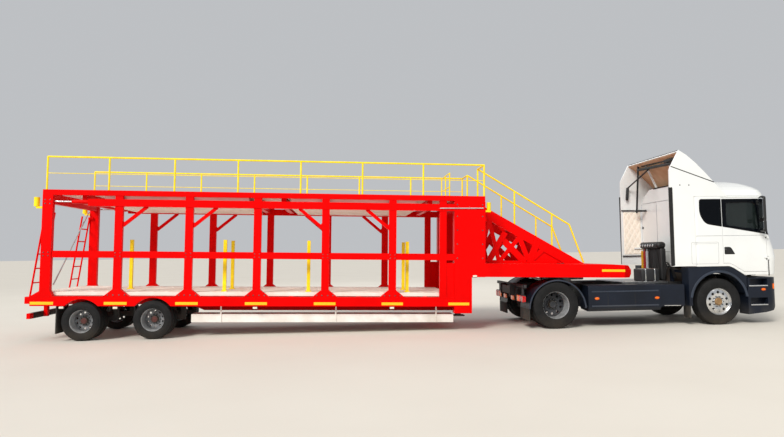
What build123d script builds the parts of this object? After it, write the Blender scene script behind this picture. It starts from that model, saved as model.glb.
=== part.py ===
from build123d import *
from math import cos, hypot, radians, sin
import os

os.makedirs("parts", exist_ok=True)

# Car transporter: a two axle tractor with a red two deck trailer hinged on its fifth wheel.
# Lengths are in millimetres, x forward, y to the left, z up from the ground.
# x is laid out from a mark under the load deck, and the finished lorry is centred on its own length.

# Width shared by tractor and trailer
HALF_WIDTH = 1250
CLEAR = 6            # gap round doors and other moving panels
FIT = 0.08           # radial clearance of a running pin or hub
SEAT = 0.3           # gap between a moving face and what it bears on

# Wheels: outer radius, tyre width, rim radius
TRUCK_TYRE_R, TRUCK_TYRE_W, TRUCK_RIM_R = 509, 305, 292
TRAILER_TYRE_R, TRAILER_TYRE_W, TRAILER_RIM_R = 396, 225, 232
TWIN_GAP = 34        # between the two tyres of a twin wheel
RIM_SHELL = 12
HUB_BORE_R = 45
FRONT_AXLE_X, DRIVE_AXLE_X = 8329, 4629
TRAILER_AXLE_XS = (-5297, -3882)
# outer faces of the tyres, and the inner faces of the twin tyres
TRUCK_OUT, TRAILER_OUT = HALF_WIDTH - 10, HALF_WIDTH - 12
TRUCK_IN = TRUCK_OUT - 2 * TRUCK_TYRE_W - TWIN_GAP
TRAILER_IN = TRAILER_OUT - 2 * TRAILER_TYRE_W - TWIN_GAP

# The pivot between tractor and trailer
KINGPIN_X = 5200
KINGPIN_R = 25
PLATE_TOP = 1066     # top of the fifth wheel above the ground
TILT_X, TILT_Z = 9715, 1060   # hinge on which the cab tips forward

# The trailer is built level and then set nose down on its coupling.
# Its heights are measured from the top of its lower floor.
TRAILER_PITCH = 1.343
FLOOR_X, FLOOR_Z = -20.6, 871.4
TRAILER_PLACE = Location((FLOOR_X, 0, FLOOR_Z), (0, TRAILER_PITCH, 0))


def on_trailer(x, z):
    # turns a place beside the standing lorry into the level trailer's own x and z
    c, s = cos(radians(TRAILER_PITCH)), sin(radians(TRAILER_PITCH))
    dx, dz = x - FLOOR_X, z - FLOOR_Z
    return dx * c - dz * s, dx * s + dz * c


def slab(x, y, z):
    # a box from low and high values along each axis
    lows = [min(pair) for pair in (x, y, z)]
    sizes = [abs(pair[1] - pair[0]) for pair in (x, y, z)]
    return Pos(*[low + size / 2 for low, size in zip(lows, sizes)]) * Box(*sizes)


def thicken(corners, direction):
    # a plate from its corners, grown along a direction
    face = Face(Wire.make_polygon(corners))
    if face.normal_at().dot(direction) < 0:
        face = -face
    return Solid.extrude(face, direction)


def plate_xz(points, y):
    # a flat plate whose outline is seen from the side, between two y values
    return thicken([(x, min(y), z) for x, z in points], Vector(0, abs(y[1] - y[0]), 0))


def plate_xy(points, z):
    # a flat plate whose outline is seen from above, between two heights
    return thicken([(x, y, z[0]) for x, y in points], Vector(0, 0, z[1] - z[0]))


def plate_yz(points, x):
    # a flat plate whose outline is seen from the front, between two x values
    return thicken([(x[0], y, z) for y, z in points], Vector(x[1] - x[0], 0, 0))


def disc(x, y, z, radius):
    # a cylinder lying across the lorry, y being its two ends
    return Pos(x, (y[0] + y[1]) / 2, z) * Rot(90, 0, 0) * Cylinder(radius, abs(y[1] - y[0]))


def post(x, y, z, radius):
    # an upright cylinder, z being its two ends
    return Pos(x, y, (z[0] + z[1]) / 2) * Cylinder(radius, z[1] - z[0])


def rod(start, end, radius):
    # a round bar between two points
    a, b = Vector(*start), Vector(*end)
    return Solid.make_cylinder(radius, (b - a).length, Plane(origin=a, z_dir=b - a))


def strut(start, end, depth, y):
    # a flat bar between two points seen from the side
    (x0, z0), (x1, z1) = start, end
    length = hypot(x1 - x0, z1 - z0)
    nx, nz = -(z1 - z0) / length * depth / 2, (x1 - x0) / length * depth / 2
    outline = [(x0 - nx, z0 - nz), (x1 - nx, z1 - nz), (x1 + nx, z1 + nz), (x0 + nx, z0 + nz)]
    return plate_xz(outline, y)


def both_sides(shape):
    return [shape, mirror(shape, Plane.XZ)]


def weld(pieces):
    # one piece of steelwork from parts that meet
    flat = list(pieces)
    return flat[0].fuse(*flat[1:])


NODES = {}


def keep(name, shape, trailer=False):
    shapes = list(shape) if isinstance(shape, (list, tuple)) else [shape]
    solids = [solid for item in shapes for solid in item.solids()]
    NODES[name] = [TRAILER_PLACE * solid for solid in solids] if trailer else solids


# Wheels. Each tyre is a ring, and each rim is a dished disc with its hub.
def tyre(y_centre, radius, width, rim_radius):
    shoulder, bead = 38, 26
    half = width / 2
    outline = [(rim_radius, -half + bead), (radius - 2 * shoulder, -half), (radius - shoulder, -half + 6),
               (radius, -half + shoulder), (radius, half - shoulder), (radius - shoulder, half - 6),
               (radius - 2 * shoulder, half), (rim_radius, half - bead)]
    face = Face(Wire.make_polygon([(r, y_centre + y, 0) for r, y in outline]))
    return revolve(face, Axis.Y)


HOLE_COUNT = 10
# where the hand holes lie and their radius, as shares of the rim's radius
HOLE_SHARE, HOLE_R_SHARE = 0.7, 0.1


def rim(y, rim_radius, disc_y, dish, cap_y):
    # a barrel between two y values, a disc with its round holes across it and a hub with its cap
    # dish is how far the disc leans from its rim to its hub
    lo, hi = min(y), max(y)
    inner = rim_radius - RIM_SHELL
    barrel = [(inner, lo), (rim_radius, lo), (rim_radius, hi), (inner, hi)]
    disc_t = 16
    web = [(HUB_BORE_R, disc_y + dish), (inner + 2, disc_y), (inner + 2, disc_y + disc_t),
           (HUB_BORE_R, disc_y + dish + disc_t)]
    hub_lo, hub_hi = min(disc_y + dish - 40, cap_y), max(disc_y + dish + 40, cap_y)
    hub = [(HUB_BORE_R, hub_lo), (HUB_BORE_R + 45, hub_lo), (HUB_BORE_R + 45, hub_hi), (HUB_BORE_R, hub_hi)]
    wall, plate, boss = [revolve(Face(Wire.make_polygon([(r, yy, 0) for r, yy in ring])), Axis.Y)
                         for ring in (barrel, web, hub)]
    hole = disc(rim_radius * HOLE_SHARE, (disc_y - 60, disc_y + 60), 0, rim_radius * HOLE_R_SHARE)
    for n in range(HOLE_COUNT):
        plate = plate - Rot(0, 360 / HOLE_COUNT * n, 0) * hole
    return weld([wall, plate, boss])


def set_wheel(shape, x, z, side):
    # a wheel is drawn on the right side and mirrored for the left
    placed = Pos(x, 0, z) * shape
    return placed if side == "right" else mirror(placed, Plane.XZ)


BEAD_IN = 26         # the rim's edge stands this far inside the tyre's side
FRONT_TYRE_Y = -TRUCK_OUT + TRUCK_TYRE_W / 2
FRONT_DISC_Y = -TRUCK_OUT + 60
DRIVE_TYRE_YS = (FRONT_TYRE_Y, FRONT_TYRE_Y + TRUCK_TYRE_W + TWIN_GAP)
DRIVE_DISC_Y = (DRIVE_TYRE_YS[0] + DRIVE_TYRE_YS[1]) / 2 - 8
TRAILER_TYRE_YS = (-TRAILER_OUT + TRAILER_TYRE_W / 2, -TRAILER_OUT + 1.5 * TRAILER_TYRE_W + TWIN_GAP)
TRAILER_DISC_Y = (TRAILER_TYRE_YS[0] + TRAILER_TYRE_YS[1]) / 2 - 8
FRONT_CAP_Y = -TRUCK_OUT + 12
DRIVE_CAP_Y = DRIVE_DISC_Y - 95
TRAILER_CAP_Y = TRAILER_DISC_Y - 85


def front_rim():
    reach = TRUCK_TYRE_W / 2 - BEAD_IN
    return rim((FRONT_TYRE_Y - reach, FRONT_TYRE_Y + reach), TRUCK_RIM_R, FRONT_DISC_Y, -12, FRONT_CAP_Y)


def twin_rim(tyre_ys, width, rim_radius, disc_y, cap_y):
    reach = width / 2 - BEAD_IN
    return rim((min(tyre_ys) - reach, max(tyre_ys) + reach), rim_radius, disc_y, -8, cap_y)


def make_wheels():
    front_tyre = tyre(FRONT_TYRE_Y, TRUCK_TYRE_R, TRUCK_TYRE_W, TRUCK_RIM_R)
    drive_tyres = [tyre(y, TRUCK_TYRE_R, TRUCK_TYRE_W, TRUCK_RIM_R) for y in DRIVE_TYRE_YS]
    trailer_tyres = [tyre(y, TRAILER_TYRE_R, TRAILER_TYRE_W, TRAILER_RIM_R) for y in TRAILER_TYRE_YS]
    drive_rim = twin_rim(DRIVE_TYRE_YS, TRUCK_TYRE_W, TRUCK_RIM_R, DRIVE_DISC_Y, DRIVE_CAP_Y)
    trailer_rim = twin_rim(TRAILER_TYRE_YS, TRAILER_TYRE_W, TRAILER_RIM_R, TRAILER_DISC_Y, TRAILER_CAP_Y)
    # where each wheel stands: name, x, radius, tyres, rim
    table = [("front", FRONT_AXLE_X, TRUCK_TYRE_R, [front_tyre], front_rim()),
             ("drive", DRIVE_AXLE_X, TRUCK_TYRE_R, drive_tyres, drive_rim)]
    for order, x in zip(("rear", "fore"), TRAILER_AXLE_XS):
        table.append((f"trailer_{order}", x, TRAILER_TYRE_R, trailer_tyres, trailer_rim))
    for name, x, radius, tyres, wheel_rim in table:
        for side in ("left", "right"):
            keep(f"{name}_tyre_{side}", [set_wheel(item, x, radius, side) for item in tyres])
            keep(f"{name}_rim_{side}", set_wheel(wheel_rim, x, radius, side))


# Tractor frame: two channel rails with cross members, and the fifth wheel on top.
RAIL_Y = (TRUCK_IN - 236, TRUCK_IN - 166)
RAIL_MID = (RAIL_Y[0] + RAIL_Y[1]) / 2
RAIL_Z = (690, 930)
FRAME_REAR, FRAME_FRONT = DRIVE_AXLE_X - 799, FRONT_AXLE_X + 971
CROSSING_XS = (FRAME_REAR + 60, DRIVE_AXLE_X + 1071, DRIVE_AXLE_X + 1451, FRAME_FRONT - 60)
BUMPER_FRONT = FRONT_AXLE_X + 1421
BUMPER_BACK = BUMPER_FRONT - 80
ENGINE_X, ENGINE_TOP = (7450, 8560), 1240


def make_chassis():
    rails = both_sides(slab((FRAME_REAR, FRAME_FRONT), RAIL_Y, RAIL_Z))
    crossings = [slab((x - 40, x + 40), (-RAIL_Y[0], RAIL_Y[0]), (RAIL_Z[0] + 30, RAIL_Z[1] - 30))
                 for x in CROSSING_XS]
    horns = both_sides(slab((FRAME_FRONT - 10, BUMPER_BACK), RAIL_Y, (RAIL_Z[0] + 60, RAIL_Z[1])))
    foot_z, pin_low, pin_high = RAIL_Z[1] - 60, TILT_Z - 20, TILT_Z + 20
    lug = [(-150, foot_z), (-70, foot_z), (-60, pin_low), (20, pin_low), (20, pin_high), (-90, pin_high),
           (-150, TILT_Z - 60)]
    lugs = both_sides(plate_xz([(TILT_X + x, z) for x, z in lug], RAIL_Y))
    pins = both_sides(disc(TILT_X, (RAIL_Y[0] - 60, RAIL_Y[1] + 60), TILT_Z, 14))
    return weld(rails + crossings + horns + lugs + pins)


BOWL_R = 190         # the drive axle's gear case


def make_engine():
    # the block leaves 30 between itself and the rails, and the others are set in from it
    half = RAIL_Y[0] - 30
    under = RAIL_Z[0] - 130
    gearbox_back, radiator_x = ENGINE_X[0] - 950, ENGINE_X[1] + 190
    block = slab(ENGINE_X, (-half, half), (under, ENGINE_TOP))
    gearbox = slab((gearbox_back, ENGINE_X[0]), (100 - half, half - 100), (600, 900))
    sump = slab((ENGINE_X[0] + 300, ENGINE_X[1] - 100), (130 - half, half - 130), (500, under))
    radiator = slab((radiator_x, radiator_x + 110), (-half - 25, half + 25), (500, 1020))
    shaft = rod((gearbox_back, 0, 700), (DRIVE_AXLE_X + BOWL_R, 0, 560), 45)
    hose = slab((ENGINE_X[1], radiator_x), (-120, 120), (760, 900))
    mounts = [slab((x - 50, x + 50), (side * (half - 5), side * RAIL_Y[0]), (760, 860))
              for side in (-1, 1) for x in (ENGINE_X[0] + 200, ENGINE_X[1] - 160)]
    return weld([block, gearbox, sump, radiator, shaft, hose] + mounts)


def make_fifth_wheel():
    # half of the plate seen from above, from the mouth at its rear to its front edge
    half = RAIL_Y[1] + 20
    side = [(-KINGPIN_R - 1, KINGPIN_R + 4), (-470, 60), (-430, half - 120), (-120, half), (330, half),
            (420, half - 150)]
    outline = side + [(x, -y) for x, y in reversed(side)]
    plate = plate_xy([(KINGPIN_X + x, y) for x, y in outline], (PLATE_TOP - 50, PLATE_TOP))
    jaw = slab((KINGPIN_X - 75, KINGPIN_X + 75), (-75, 75), (PLATE_TOP - 110, PLATE_TOP))
    bore = post(KINGPIN_X, 0, (PLATE_TOP - 120, PLATE_TOP + 10), KINGPIN_R + FIT)
    feet = both_sides(plate_xz([(KINGPIN_X - 190, RAIL_Z[1] + 20), (KINGPIN_X - 60, PLATE_TOP - 50),
                                (KINGPIN_X + 60, PLATE_TOP - 50), (KINGPIN_X + 190, RAIL_Z[1] + 20)],
                               (RAIL_Y[0] - 10, RAIL_Y[1] + 10)))
    base = slab((KINGPIN_X - 330, KINGPIN_X + 330), (-RAIL_Y[1], RAIL_Y[1]), (RAIL_Z[1], RAIL_Z[1] + 20))
    return weld([plate, jaw] + feet + [base]) - bore


# Axles and steering. The stub axle turns about an upright pin just inside the wheel.
STEER_Y = TRUCK_OUT - TRUCK_TYRE_W + 20
STUB_R = HUB_BORE_R - FIT
STEER_PIN_R = 24
FIST_HALF = 50
ARM_LENGTH = 170      # steering arm behind the pin
ROD_Z = TRUCK_TYRE_R - 112
BEAM_DROP = 70


def make_front_axle():
    z = TRUCK_TYRE_R
    x = FRONT_AXLE_X
    beam = slab((x - 50, x + 50), (-STEER_Y + 75, STEER_Y - 75), (z - 60 - BEAM_DROP, z + 40 - BEAM_DROP))
    fists = both_sides(post(x, STEER_Y, (z - FIST_HALF, z + FIST_HALF), 48))
    ends = both_sides(slab((x - 42, x + 42), (STEER_Y - 130, STEER_Y - 30), (z - FIST_HALF, z + FIST_HALF)))
    bores = both_sides(post(x, STEER_Y, (z - 200, z + 200), STEER_PIN_R + FIT))
    springs = both_sides(slab((x - 700, x + 620), RAIL_Y, (z - 30, z + 10)))
    for at in (x - 660, x + 580):
        springs += both_sides(slab((at - 40, at + 40), RAIL_Y, (z + 10, RAIL_Z[0])))
    return weld([beam] + fists + ends + springs) - bores[0] - bores[1]


def knuckle():
    # drawn on the left side: pin, yoke arms, spindle, steering arm with its ball pin
    z, x = TRUCK_TYRE_R, FRONT_AXLE_X
    pin = post(x, STEER_Y, (z - FIST_HALF - 34, z + FIST_HALF + 34), STEER_PIN_R)
    arm_faces = ((z + FIST_HALF + SEAT, z + FIST_HALF + 34), (z - FIST_HALF - 34, z - FIST_HALF - SEAT))
    arms = [slab((x - 45, x + 45), (STEER_Y - 45, STEER_Y + 85), faces) for faces in arm_faces]
    back = slab((x - 70, x + 70), (STEER_Y + 60, STEER_Y + 85), (z - FIST_HALF - 34, z + FIST_HALF + 34))
    shield = disc(x, (STEER_Y + 85, STEER_Y + 97), z, 190)
    stub = disc(x, (STEER_Y + 85, -FRONT_CAP_Y - 25), z, STUB_R)
    steer_arm = slab((x - ARM_LENGTH - 25, x - 45), (STEER_Y - 25, STEER_Y + 25),
                     (z - FIST_HALF - 34, z - FIST_HALF - 10))
    ball = post(x - ARM_LENGTH, STEER_Y, (ROD_Z - 22, z - FIST_HALF - 20), 14)
    return weld([pin] + arms + [back, shield, stub, steer_arm, ball])


def make_tie_rod():
    x = FRONT_AXLE_X - ARM_LENGTH
    bar = disc(x, (-STEER_Y + 10, STEER_Y - 10), ROD_Z, 16)
    eyes = both_sides(post(x, STEER_Y, (ROD_Z - 18, ROD_Z + 18), 30))
    bores = both_sides(post(x, STEER_Y, (ROD_Z - 40, ROD_Z + 40), 14 + FIT))
    return weld([bar] + eyes) - bores[0] - bores[1]


DRIVE_HOUSING_R = 82


def make_drive_axle():
    x, z = DRIVE_AXLE_X, TRUCK_TYRE_R
    drum_in, drum_out = TRUCK_IN - 126, TRUCK_IN - 36
    tube = disc(x, (-drum_in - 10, drum_in + 10), z, DRIVE_HOUSING_R)
    bowl = Pos(x, 0, z) * Sphere(BOWL_R)
    stubs = both_sides(disc(x, (drum_in, -DRIVE_CAP_Y - 15), z, STUB_R))
    drums = both_sides(disc(x, (drum_in, drum_out), z, 200))
    carrier_y = (RAIL_Y[0] - 20, RAIL_Y[1])
    cradles = both_sides(slab((x - 380, x + 380), carrier_y, (z - 150, z - DRIVE_HOUSING_R)))
    saddles = both_sides(slab((x - 90, x + 90), carrier_y, (z - DRIVE_HOUSING_R - 8, z + 40)))
    bags = [post(at, side * (RAIL_MID - 10), (z - DRIVE_HOUSING_R, RAIL_Z[0]), 118)
            for side in (-1, 1) for at in (x - 290, x + 290)]
    return weld([tube, bowl] + stubs + drums + cradles + saddles + bags)


# Cab: hollow, about 60 mm thick all round, with its doors and windows cut out.
CAB_REAR, CAB_WALL = 7840, 60
CAB_CORNER_R, CAB_REAR_R = 300, 70
# sections of the cab: height, front x, and how far its sides lie inside the lorry's width
CAB_SECTIONS = [(1040, 9800, 18), (1460, 9830, 14), (1650, 9795, 14), (2030, 9680, 14), (2830, 9600, 22),
                (2920, 9610, 60), (3000, 9590, 125), (3070, 9530, 215), (3130, 9440, 320), (3180, 9340, 420),
                (3225, 9180, 560), (3250, 9000, 700)]
ROOF_FOOT = CAB_SECTIONS[4][0]     # above this height the sides curve into the roof
# the roof's crown seen from the side, from the rear forward
ROOF_LINE = [(CAB_REAR - 40, 3195), (8300, 3235), (8700, 3247), (9900, 3247)]
# the lower edge seen from the side
SILL_LINE = [(CAB_REAR - 40, 1290), (8600, 1290), (8700, 1250), (8940, 1100), (9000, 1090), (9900, 1090)]
CAB_FLOOR = SILL_LINE[0][1] + CAB_WALL
SCREEN_Z = (2060, 2800)
SCREEN_HALF = HALF_WIDTH - 160     # leaves the corner pillars
SKIN_Y = (HALF_WIDTH - 170, HALF_WIDTH + 60)   # a cutter across the cab's side wall


def cab_block(inset):
    # the solid cab, drawn in by a wall thickness
    faces = []
    for height, front, set_in in CAB_SECTIONS:
        length = front - CAB_REAR - 2 * inset
        centre_x = (front + CAB_REAR) / 2
        level = height - inset if height > ROOF_FOOT else height
        plan = Pos(centre_x, 0, level) * Rectangle(length, 2 * (HALF_WIDTH - set_in - inset))
        noses = plan.vertices().sort_by(Axis.X)[2:]
        plan = fillet(noses, CAB_CORNER_R - inset)
        tails = plan.vertices().sort_by(Axis.X)[:2]
        faces.append(fillet(tails, max(CAB_REAR_R - inset, 5)))
    block = loft(faces, ruled=True)
    side = [(x, z - inset) for x, z in ROOF_LINE]
    side += [(x, z + inset) for x, z in reversed(SILL_LINE)]
    return block & plate_xz(side, (-HALF_WIDTH - 50, HALF_WIDTH + 50))


DOOR_REAR, DOOR_FRONT = 8470, 9500
DOOR_SILL = CAB_WALL + 2   # the opening starts just above the floor
DOOR_HINGE_X, DOOR_HINGE_Y = DOOR_FRONT + 12, HALF_WIDTH - 6
DOOR_PIN_R = 9


def door_outline(gap):
    # seen from the side, going round from the lower rear corner
    lower = [(x, z + DOOR_SILL + gap) for x, z in SILL_LINE[2:4]]
    return ([(DOOR_REAR + gap, SILL_LINE[1][1] + DOOR_SILL + gap)] +
            [(SILL_LINE[1][0], SILL_LINE[1][1] + DOOR_SILL + gap)] + lower +
            [(DOOR_FRONT - gap, SILL_LINE[4][1] + DOOR_SILL + gap), (DOOR_FRONT - gap, 2050),
             (9350 - gap, 2830 - gap), (DOOR_REAR + gap, 2830 - gap)])


DOOR_WINDOW = [(8535, 2185), (9375, 2075), (9365, 2210), (9275, 2765), (8535, 2765)]
QUARTER_WINDOW = [(8000, 2450), (8130, 2240), (8410, 2200), (8410, 2765), (8000, 2765)]


def ring_layer(depth, thickness):
    # the part of the cab's skin between two depths
    return cab_block(depth) - cab_block(depth + thickness)


def make_cab():
    shell = cab_block(0) - cab_block(CAB_WALL)
    screen = slab((9000, 9900), (-SCREEN_HALF, SCREEN_HALF), SCREEN_Z)
    shell = shell - screen
    for outline in (door_outline(0), QUARTER_WINDOW):
        cutter = plate_xz(outline, SKIN_Y)
        shell = shell - cutter - mirror(cutter, Plane.XZ)
    for z in HINGE_ZS:
        # a pocket for the door's half of each hinge
        pocket = slab((DOOR_HINGE_X - 30, DOOR_HINGE_X + 30), (DOOR_HINGE_Y - 30, HALF_WIDTH + 10),
                      (z + LUG_H, z + LUG_H + 40))
        shell = shell - pocket - mirror(pocket, Plane.XZ)
    eye_z = (TILT_Z - 20, SILL_LINE[4][1] + 5)
    eyes = both_sides(slab((TILT_X - 45, TILT_X + 18), (RAIL_Y[1] + 6, RAIL_Y[1] + 50), eye_z))
    holes = both_sides(disc(TILT_X, (RAIL_Y[1], RAIL_Y[1] + 70), TILT_Z, 14 + FIT))
    lugs, bores = hinge_lugs()
    shell = shell.fuse(*eyes, *lugs)
    for cut in holes + bores:
        shell = shell - cut
    return shell


HINGE_ZS = (1420, 1900)
LUG_H = 36


def hinge_lugs():
    # cab side of the door hinges: a lug for each hinge and side, and the upright bores through them
    lugs, bores = [], []
    for z in HINGE_ZS:
        lug_y = (DOOR_HINGE_Y - 90, DOOR_HINGE_Y + 14)
        lugs += both_sides(slab((DOOR_HINGE_X - 14, DOOR_HINGE_X + 30), lug_y, (z, z + LUG_H)))
        bores += both_sides(post(DOOR_HINGE_X, DOOR_HINGE_Y, (z - 5, z + LUG_H + 5), DOOR_PIN_R + FIT))
    return lugs, bores


def door():
    # drawn on the left side, with the pins of its two hinges
    inner = HALF_WIDTH - CAB_SECTIONS[1][2] - CAB_WALL
    skin = cab_block(0) & plate_xz(door_outline(CLEAR), (inner, HALF_WIDTH))
    skin = skin - plate_xz(DOOR_WINDOW, SKIN_Y)
    parts = [skin]
    for z in HINGE_ZS:
        low, high = z + LUG_H + SEAT, z + LUG_H + 30
        rear, outer = DOOR_FRONT - 70, DOOR_HINGE_Y + 14
        parts.append(slab((rear, DOOR_HINGE_X + 14), (DOOR_HINGE_Y - 14, outer), (low, high)))
        parts.append(slab((rear, DOOR_FRONT - 24), (DOOR_HINGE_Y - 60, outer), (low, high)))
        parts.append(post(DOOR_HINGE_X, DOOR_HINGE_Y, (z + 4, high), DOOR_PIN_R))
        # the door's edge is cut back beside the lug
        edge = (DOOR_FRONT - 30, DOOR_FRONT)
        parts[0] = parts[0] - slab(edge, (HALF_WIDTH - 100, HALF_WIDTH), (z - CLEAR, (low + high) / 2))
    return weld(parts)


def glass_in(outline, inset):
    return ring_layer(inset, 12) & plate_xz(outline, SKIN_Y)


def make_cab_parts():
    keep("cab_shell", make_cab())
    left_door = door()
    left_glass = glass_in(DOOR_WINDOW, 24)
    keep("door_left", left_door)
    keep("door_right", mirror(left_door, Plane.XZ))
    keep("door_glass_left", left_glass)
    keep("door_glass_right", mirror(left_glass, Plane.XZ))
    screen = ring_layer(24, 12) & slab((9000, 9900), (-SCREEN_HALF, SCREEN_HALF), SCREEN_Z)
    keep("cab_glass", [screen] + both_sides(glass_in(QUARTER_WINDOW, 24)))


GRILLE_HALF, GRILLE_Z = HALF_WIDTH - 490, (1180, 1880)
BAR_COUNT = 5


def nose_x(z):
    # how far forward the cab's face reaches at a height
    for (low, x0, _), (high, x1, _) in zip(CAB_SECTIONS, CAB_SECTIONS[1:]):
        if z <= high:
            return x0 + (x1 - x0) * (z - low) / (high - low)
    return CAB_SECTIONS[-1][1]


def make_grille():
    # a back plate that follows the cab's face, with bars across it
    between = [row[0] for row in CAB_SECTIONS if GRILLE_Z[0] < row[0] < GRILLE_Z[1]]
    levels = [GRILLE_Z[0]] + between + [GRILLE_Z[1]]
    back = [(nose_x(z), z) for z in levels] + [(nose_x(z) + 16, z) for z in reversed(levels)]
    pitch = (GRILLE_Z[1] - GRILLE_Z[0]) / BAR_COUNT
    bars = []
    for n in range(BAR_COUNT):
        low, high = GRILLE_Z[0] + pitch * (n + 0.3), GRILLE_Z[0] + pitch * (n + 0.75)
        root = max(nose_x(low), nose_x(high)) + 4
        bars.append(slab((root, root + 30), (30 - GRILLE_HALF, GRILLE_HALF - 30), (low, high)))
    return weld([plate_xz(back, (-GRILLE_HALF, GRILLE_HALF))] + bars)


# Fairings on the cab: a side panel behind each door, and the roof deflector between them.
FAIRING_T, FAIRING_OUT = 34, HALF_WIDTH - 22
SEAM = [(7330, 3530), (8330, 3170)]
DEFLECTOR_TIP = (7530, 3895)


def roof_z(x):
    # height of the roof line over a place on the cab
    for (x0, z0), (x1, z1) in zip(ROOF_LINE, ROOF_LINE[1:]):
        if x <= x1:
            return z0 + (z1 - z0) * (x - x0) / (x1 - x0)
    return ROOF_LINE[-1][1]


def make_fairings():
    # ahead of the cab's rear wall both parts stand on the curved side of the roof, and end on its slope
    cab = cab_block(0)
    wing = (SEAM[1][0] + 290, ROOF_FOOT + 20)
    outline = [(7270, 1300), (CAB_REAR, 1300), (CAB_REAR, wing[1]), wing, SEAM[1], SEAM[0], (7290, 3440)]
    inner = FAIRING_OUT - FAIRING_T
    panel = plate_xz(outline, (inner, FAIRING_OUT))
    ties = [slab((CAB_REAR - 240, CAB_REAR), (inner - 40, inner), (z, z + 40)) for z in (1700, 2700)]
    sides = both_sides(weld([panel] + ties) - cab)
    # seen from the side, the deflector's skin rises from the roof to its trailing edge
    skin_t = 26
    top = [wing, SEAM[1], (8120, 3400), (7900, 3620), (7700, 3790), DEFLECTOR_TIP]
    under = [(x - skin_t * 0.5, z - skin_t * 1.2) for x, z in reversed(top)]
    skin = plate_xz(top + under, (-FAIRING_OUT, FAIRING_OUT))
    cheek = plate_xz(top[1:] + [SEAM[0]], (inner, FAIRING_OUT))
    base = (7930, roof_z(7930) - 30)
    struts = [strut(base, (7640, 3800), 40, (side * 500 - 18, side * 500 + 18)) for side in (-1, 1)]
    deflector = weld([skin] + both_sides(cheek) + struts) - cab
    for panel in sides:
        deflector = deflector - panel
    return sides, deflector


def make_bumper():
    # a wrapped shell in front of the arches, with the entry steps behind its ends
    low, high = 215, 1025
    length, corner = BUMPER_FRONT - ARCH_X - 660, 260
    # seen from the side, its underside curves up to the front
    under = [(-length - 10, low), (-340, low + 40), (-145, low + 82), (-45, low + 180), (0, low + 345)]
    side = [(BUMPER_FRONT + x, z) for x, z in under + [(0, high), (-length - 10, high)]]
    plan = Pos(BUMPER_FRONT - length / 2, 0, low) * Rectangle(length, 2 * HALF_WIDTH)
    plan = fillet(plan.vertices().sort_by(Axis.X)[2:], corner)
    outer = Solid.extrude(plan.face(), Vector(0, 0, high - low)) & plate_xz(side, (-HALF_WIDTH, HALF_WIDTH))
    core_half = HALF_WIDTH - 330
    core = slab((BUMPER_FRONT - length - 100, BUMPER_BACK), (-core_half, core_half), (low - 10, high + 10))
    body = outer - core - across(ARCH_X, ARCH_Z, ARCH_R + 12)
    step_y = (HALF_WIDTH - STEP_DEEP, HALF_WIDTH + 10)
    for rise in STEP_ZS:
        for cut in both_sides(slab(STEP_X, step_y, (rise, rise + STEP_H))):
            body = body - cut
    for cut in headlamps():
        body = body - cut
    return body


ARCH_X, ARCH_Z, ARCH_R = FRONT_AXLE_X + 11, 520, 625
STEP_X, STEP_ZS, STEP_H, STEP_DEEP = (9055, 9460), (430, 850), 150, 170


def across(x, z, radius):
    # a round cutter right across the lorry
    return disc(x, (-HALF_WIDTH - 150, HALF_WIDTH + 150), z, radius)


REAR_ARCH_X, REAR_ARCH_Z, REAR_ARCH_R = DRIVE_AXLE_X + 31, 420, 630


def make_fenders():
    # front: a panel that follows the cab's lower edge, with the arch cut from it
    top = [(x, z - 14) for x, z in SILL_LINE[1:5]]
    rear_x, low = ARCH_X - 700, 430
    inner, outer = TRUCK_OUT - 280, HALF_WIDTH - 20
    outline = [(rear_x, low), (rear_x, top[0][1])] + top + [(8985, 1076), (8985, 700), (rear_x + 50, low)]
    front = plate_xz(outline, (inner, HALF_WIDTH - 8)) - across(ARCH_X, ARCH_Z, ARCH_R)
    stay_x, stay_z = (rear_x + 50, rear_x + 110), (1150, 1210)
    stays = [slab(stay_x, RAIL_Y, (RAIL_Z[1], stay_z[1])), slab(stay_x, (RAIL_Y[1], inner + 10), stay_z)]
    flap = slab((rear_x + 12, rear_x + 32), (inner, outer), (170, low))
    # rear: an arch over each twin wheel, on two stays from the frame
    inner = TRUCK_IN - 36
    ring = disc(REAR_ARCH_X, (inner, HALF_WIDTH - 4), REAR_ARCH_Z, REAR_ARCH_R)
    ring = ring - across(REAR_ARCH_X, REAR_ARCH_Z, REAR_ARCH_R - 16)
    above = (REAR_ARCH_Z + 20, REAR_ARCH_Z + REAR_ARCH_R + 10)
    ring = ring & slab((REAR_ARCH_X - REAR_ARCH_R, REAR_ARCH_X + REAR_ARCH_R), (inner, HALF_WIDTH), above)
    arms = [slab((x - 22, x + 22), (RAIL_Y[1], inner + 18), (REAR_ARCH_Z + 427, REAR_ARCH_Z + 463))
            for x in (REAR_ARCH_X - 435, REAR_ARCH_X + 435)]
    flap_x = REAR_ARCH_X - REAR_ARCH_R
    rear_flap = slab((flap_x - 10, flap_x + 10), (inner + 20, outer), (190, REAR_ARCH_Z + 40))
    return both_sides(weld([front] + stays + [flap])) + both_sides(weld([ring, rear_flap] + arms))


def make_skirts():
    low, high = 356, 920
    y_in, y_out = HALF_WIDTH - 470, HALF_WIDTH - 6
    rear, seam, front = REAR_ARCH_X + 685, 6990, ARCH_X - 780
    # seen from the front, the lower edge tucks in
    section = [(y_in, low + 30), (y_out - 60, low), (y_out, low + 70), (y_out, high - 25),
               (y_out - 25, high), (y_in, high)]
    tank = plate_yz(section, (rear, seam))
    box = slab((seam, front), (y_in, y_out - 54), (430, 900))
    mounts = [slab((x - 40, x + 40), (RAIL_Y[1], y_in), (720, 860))
              for x in (rear + 255, rear + 855, seam - 190, front - 260)]
    return both_sides(weld([tank, box] + mounts))


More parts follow.
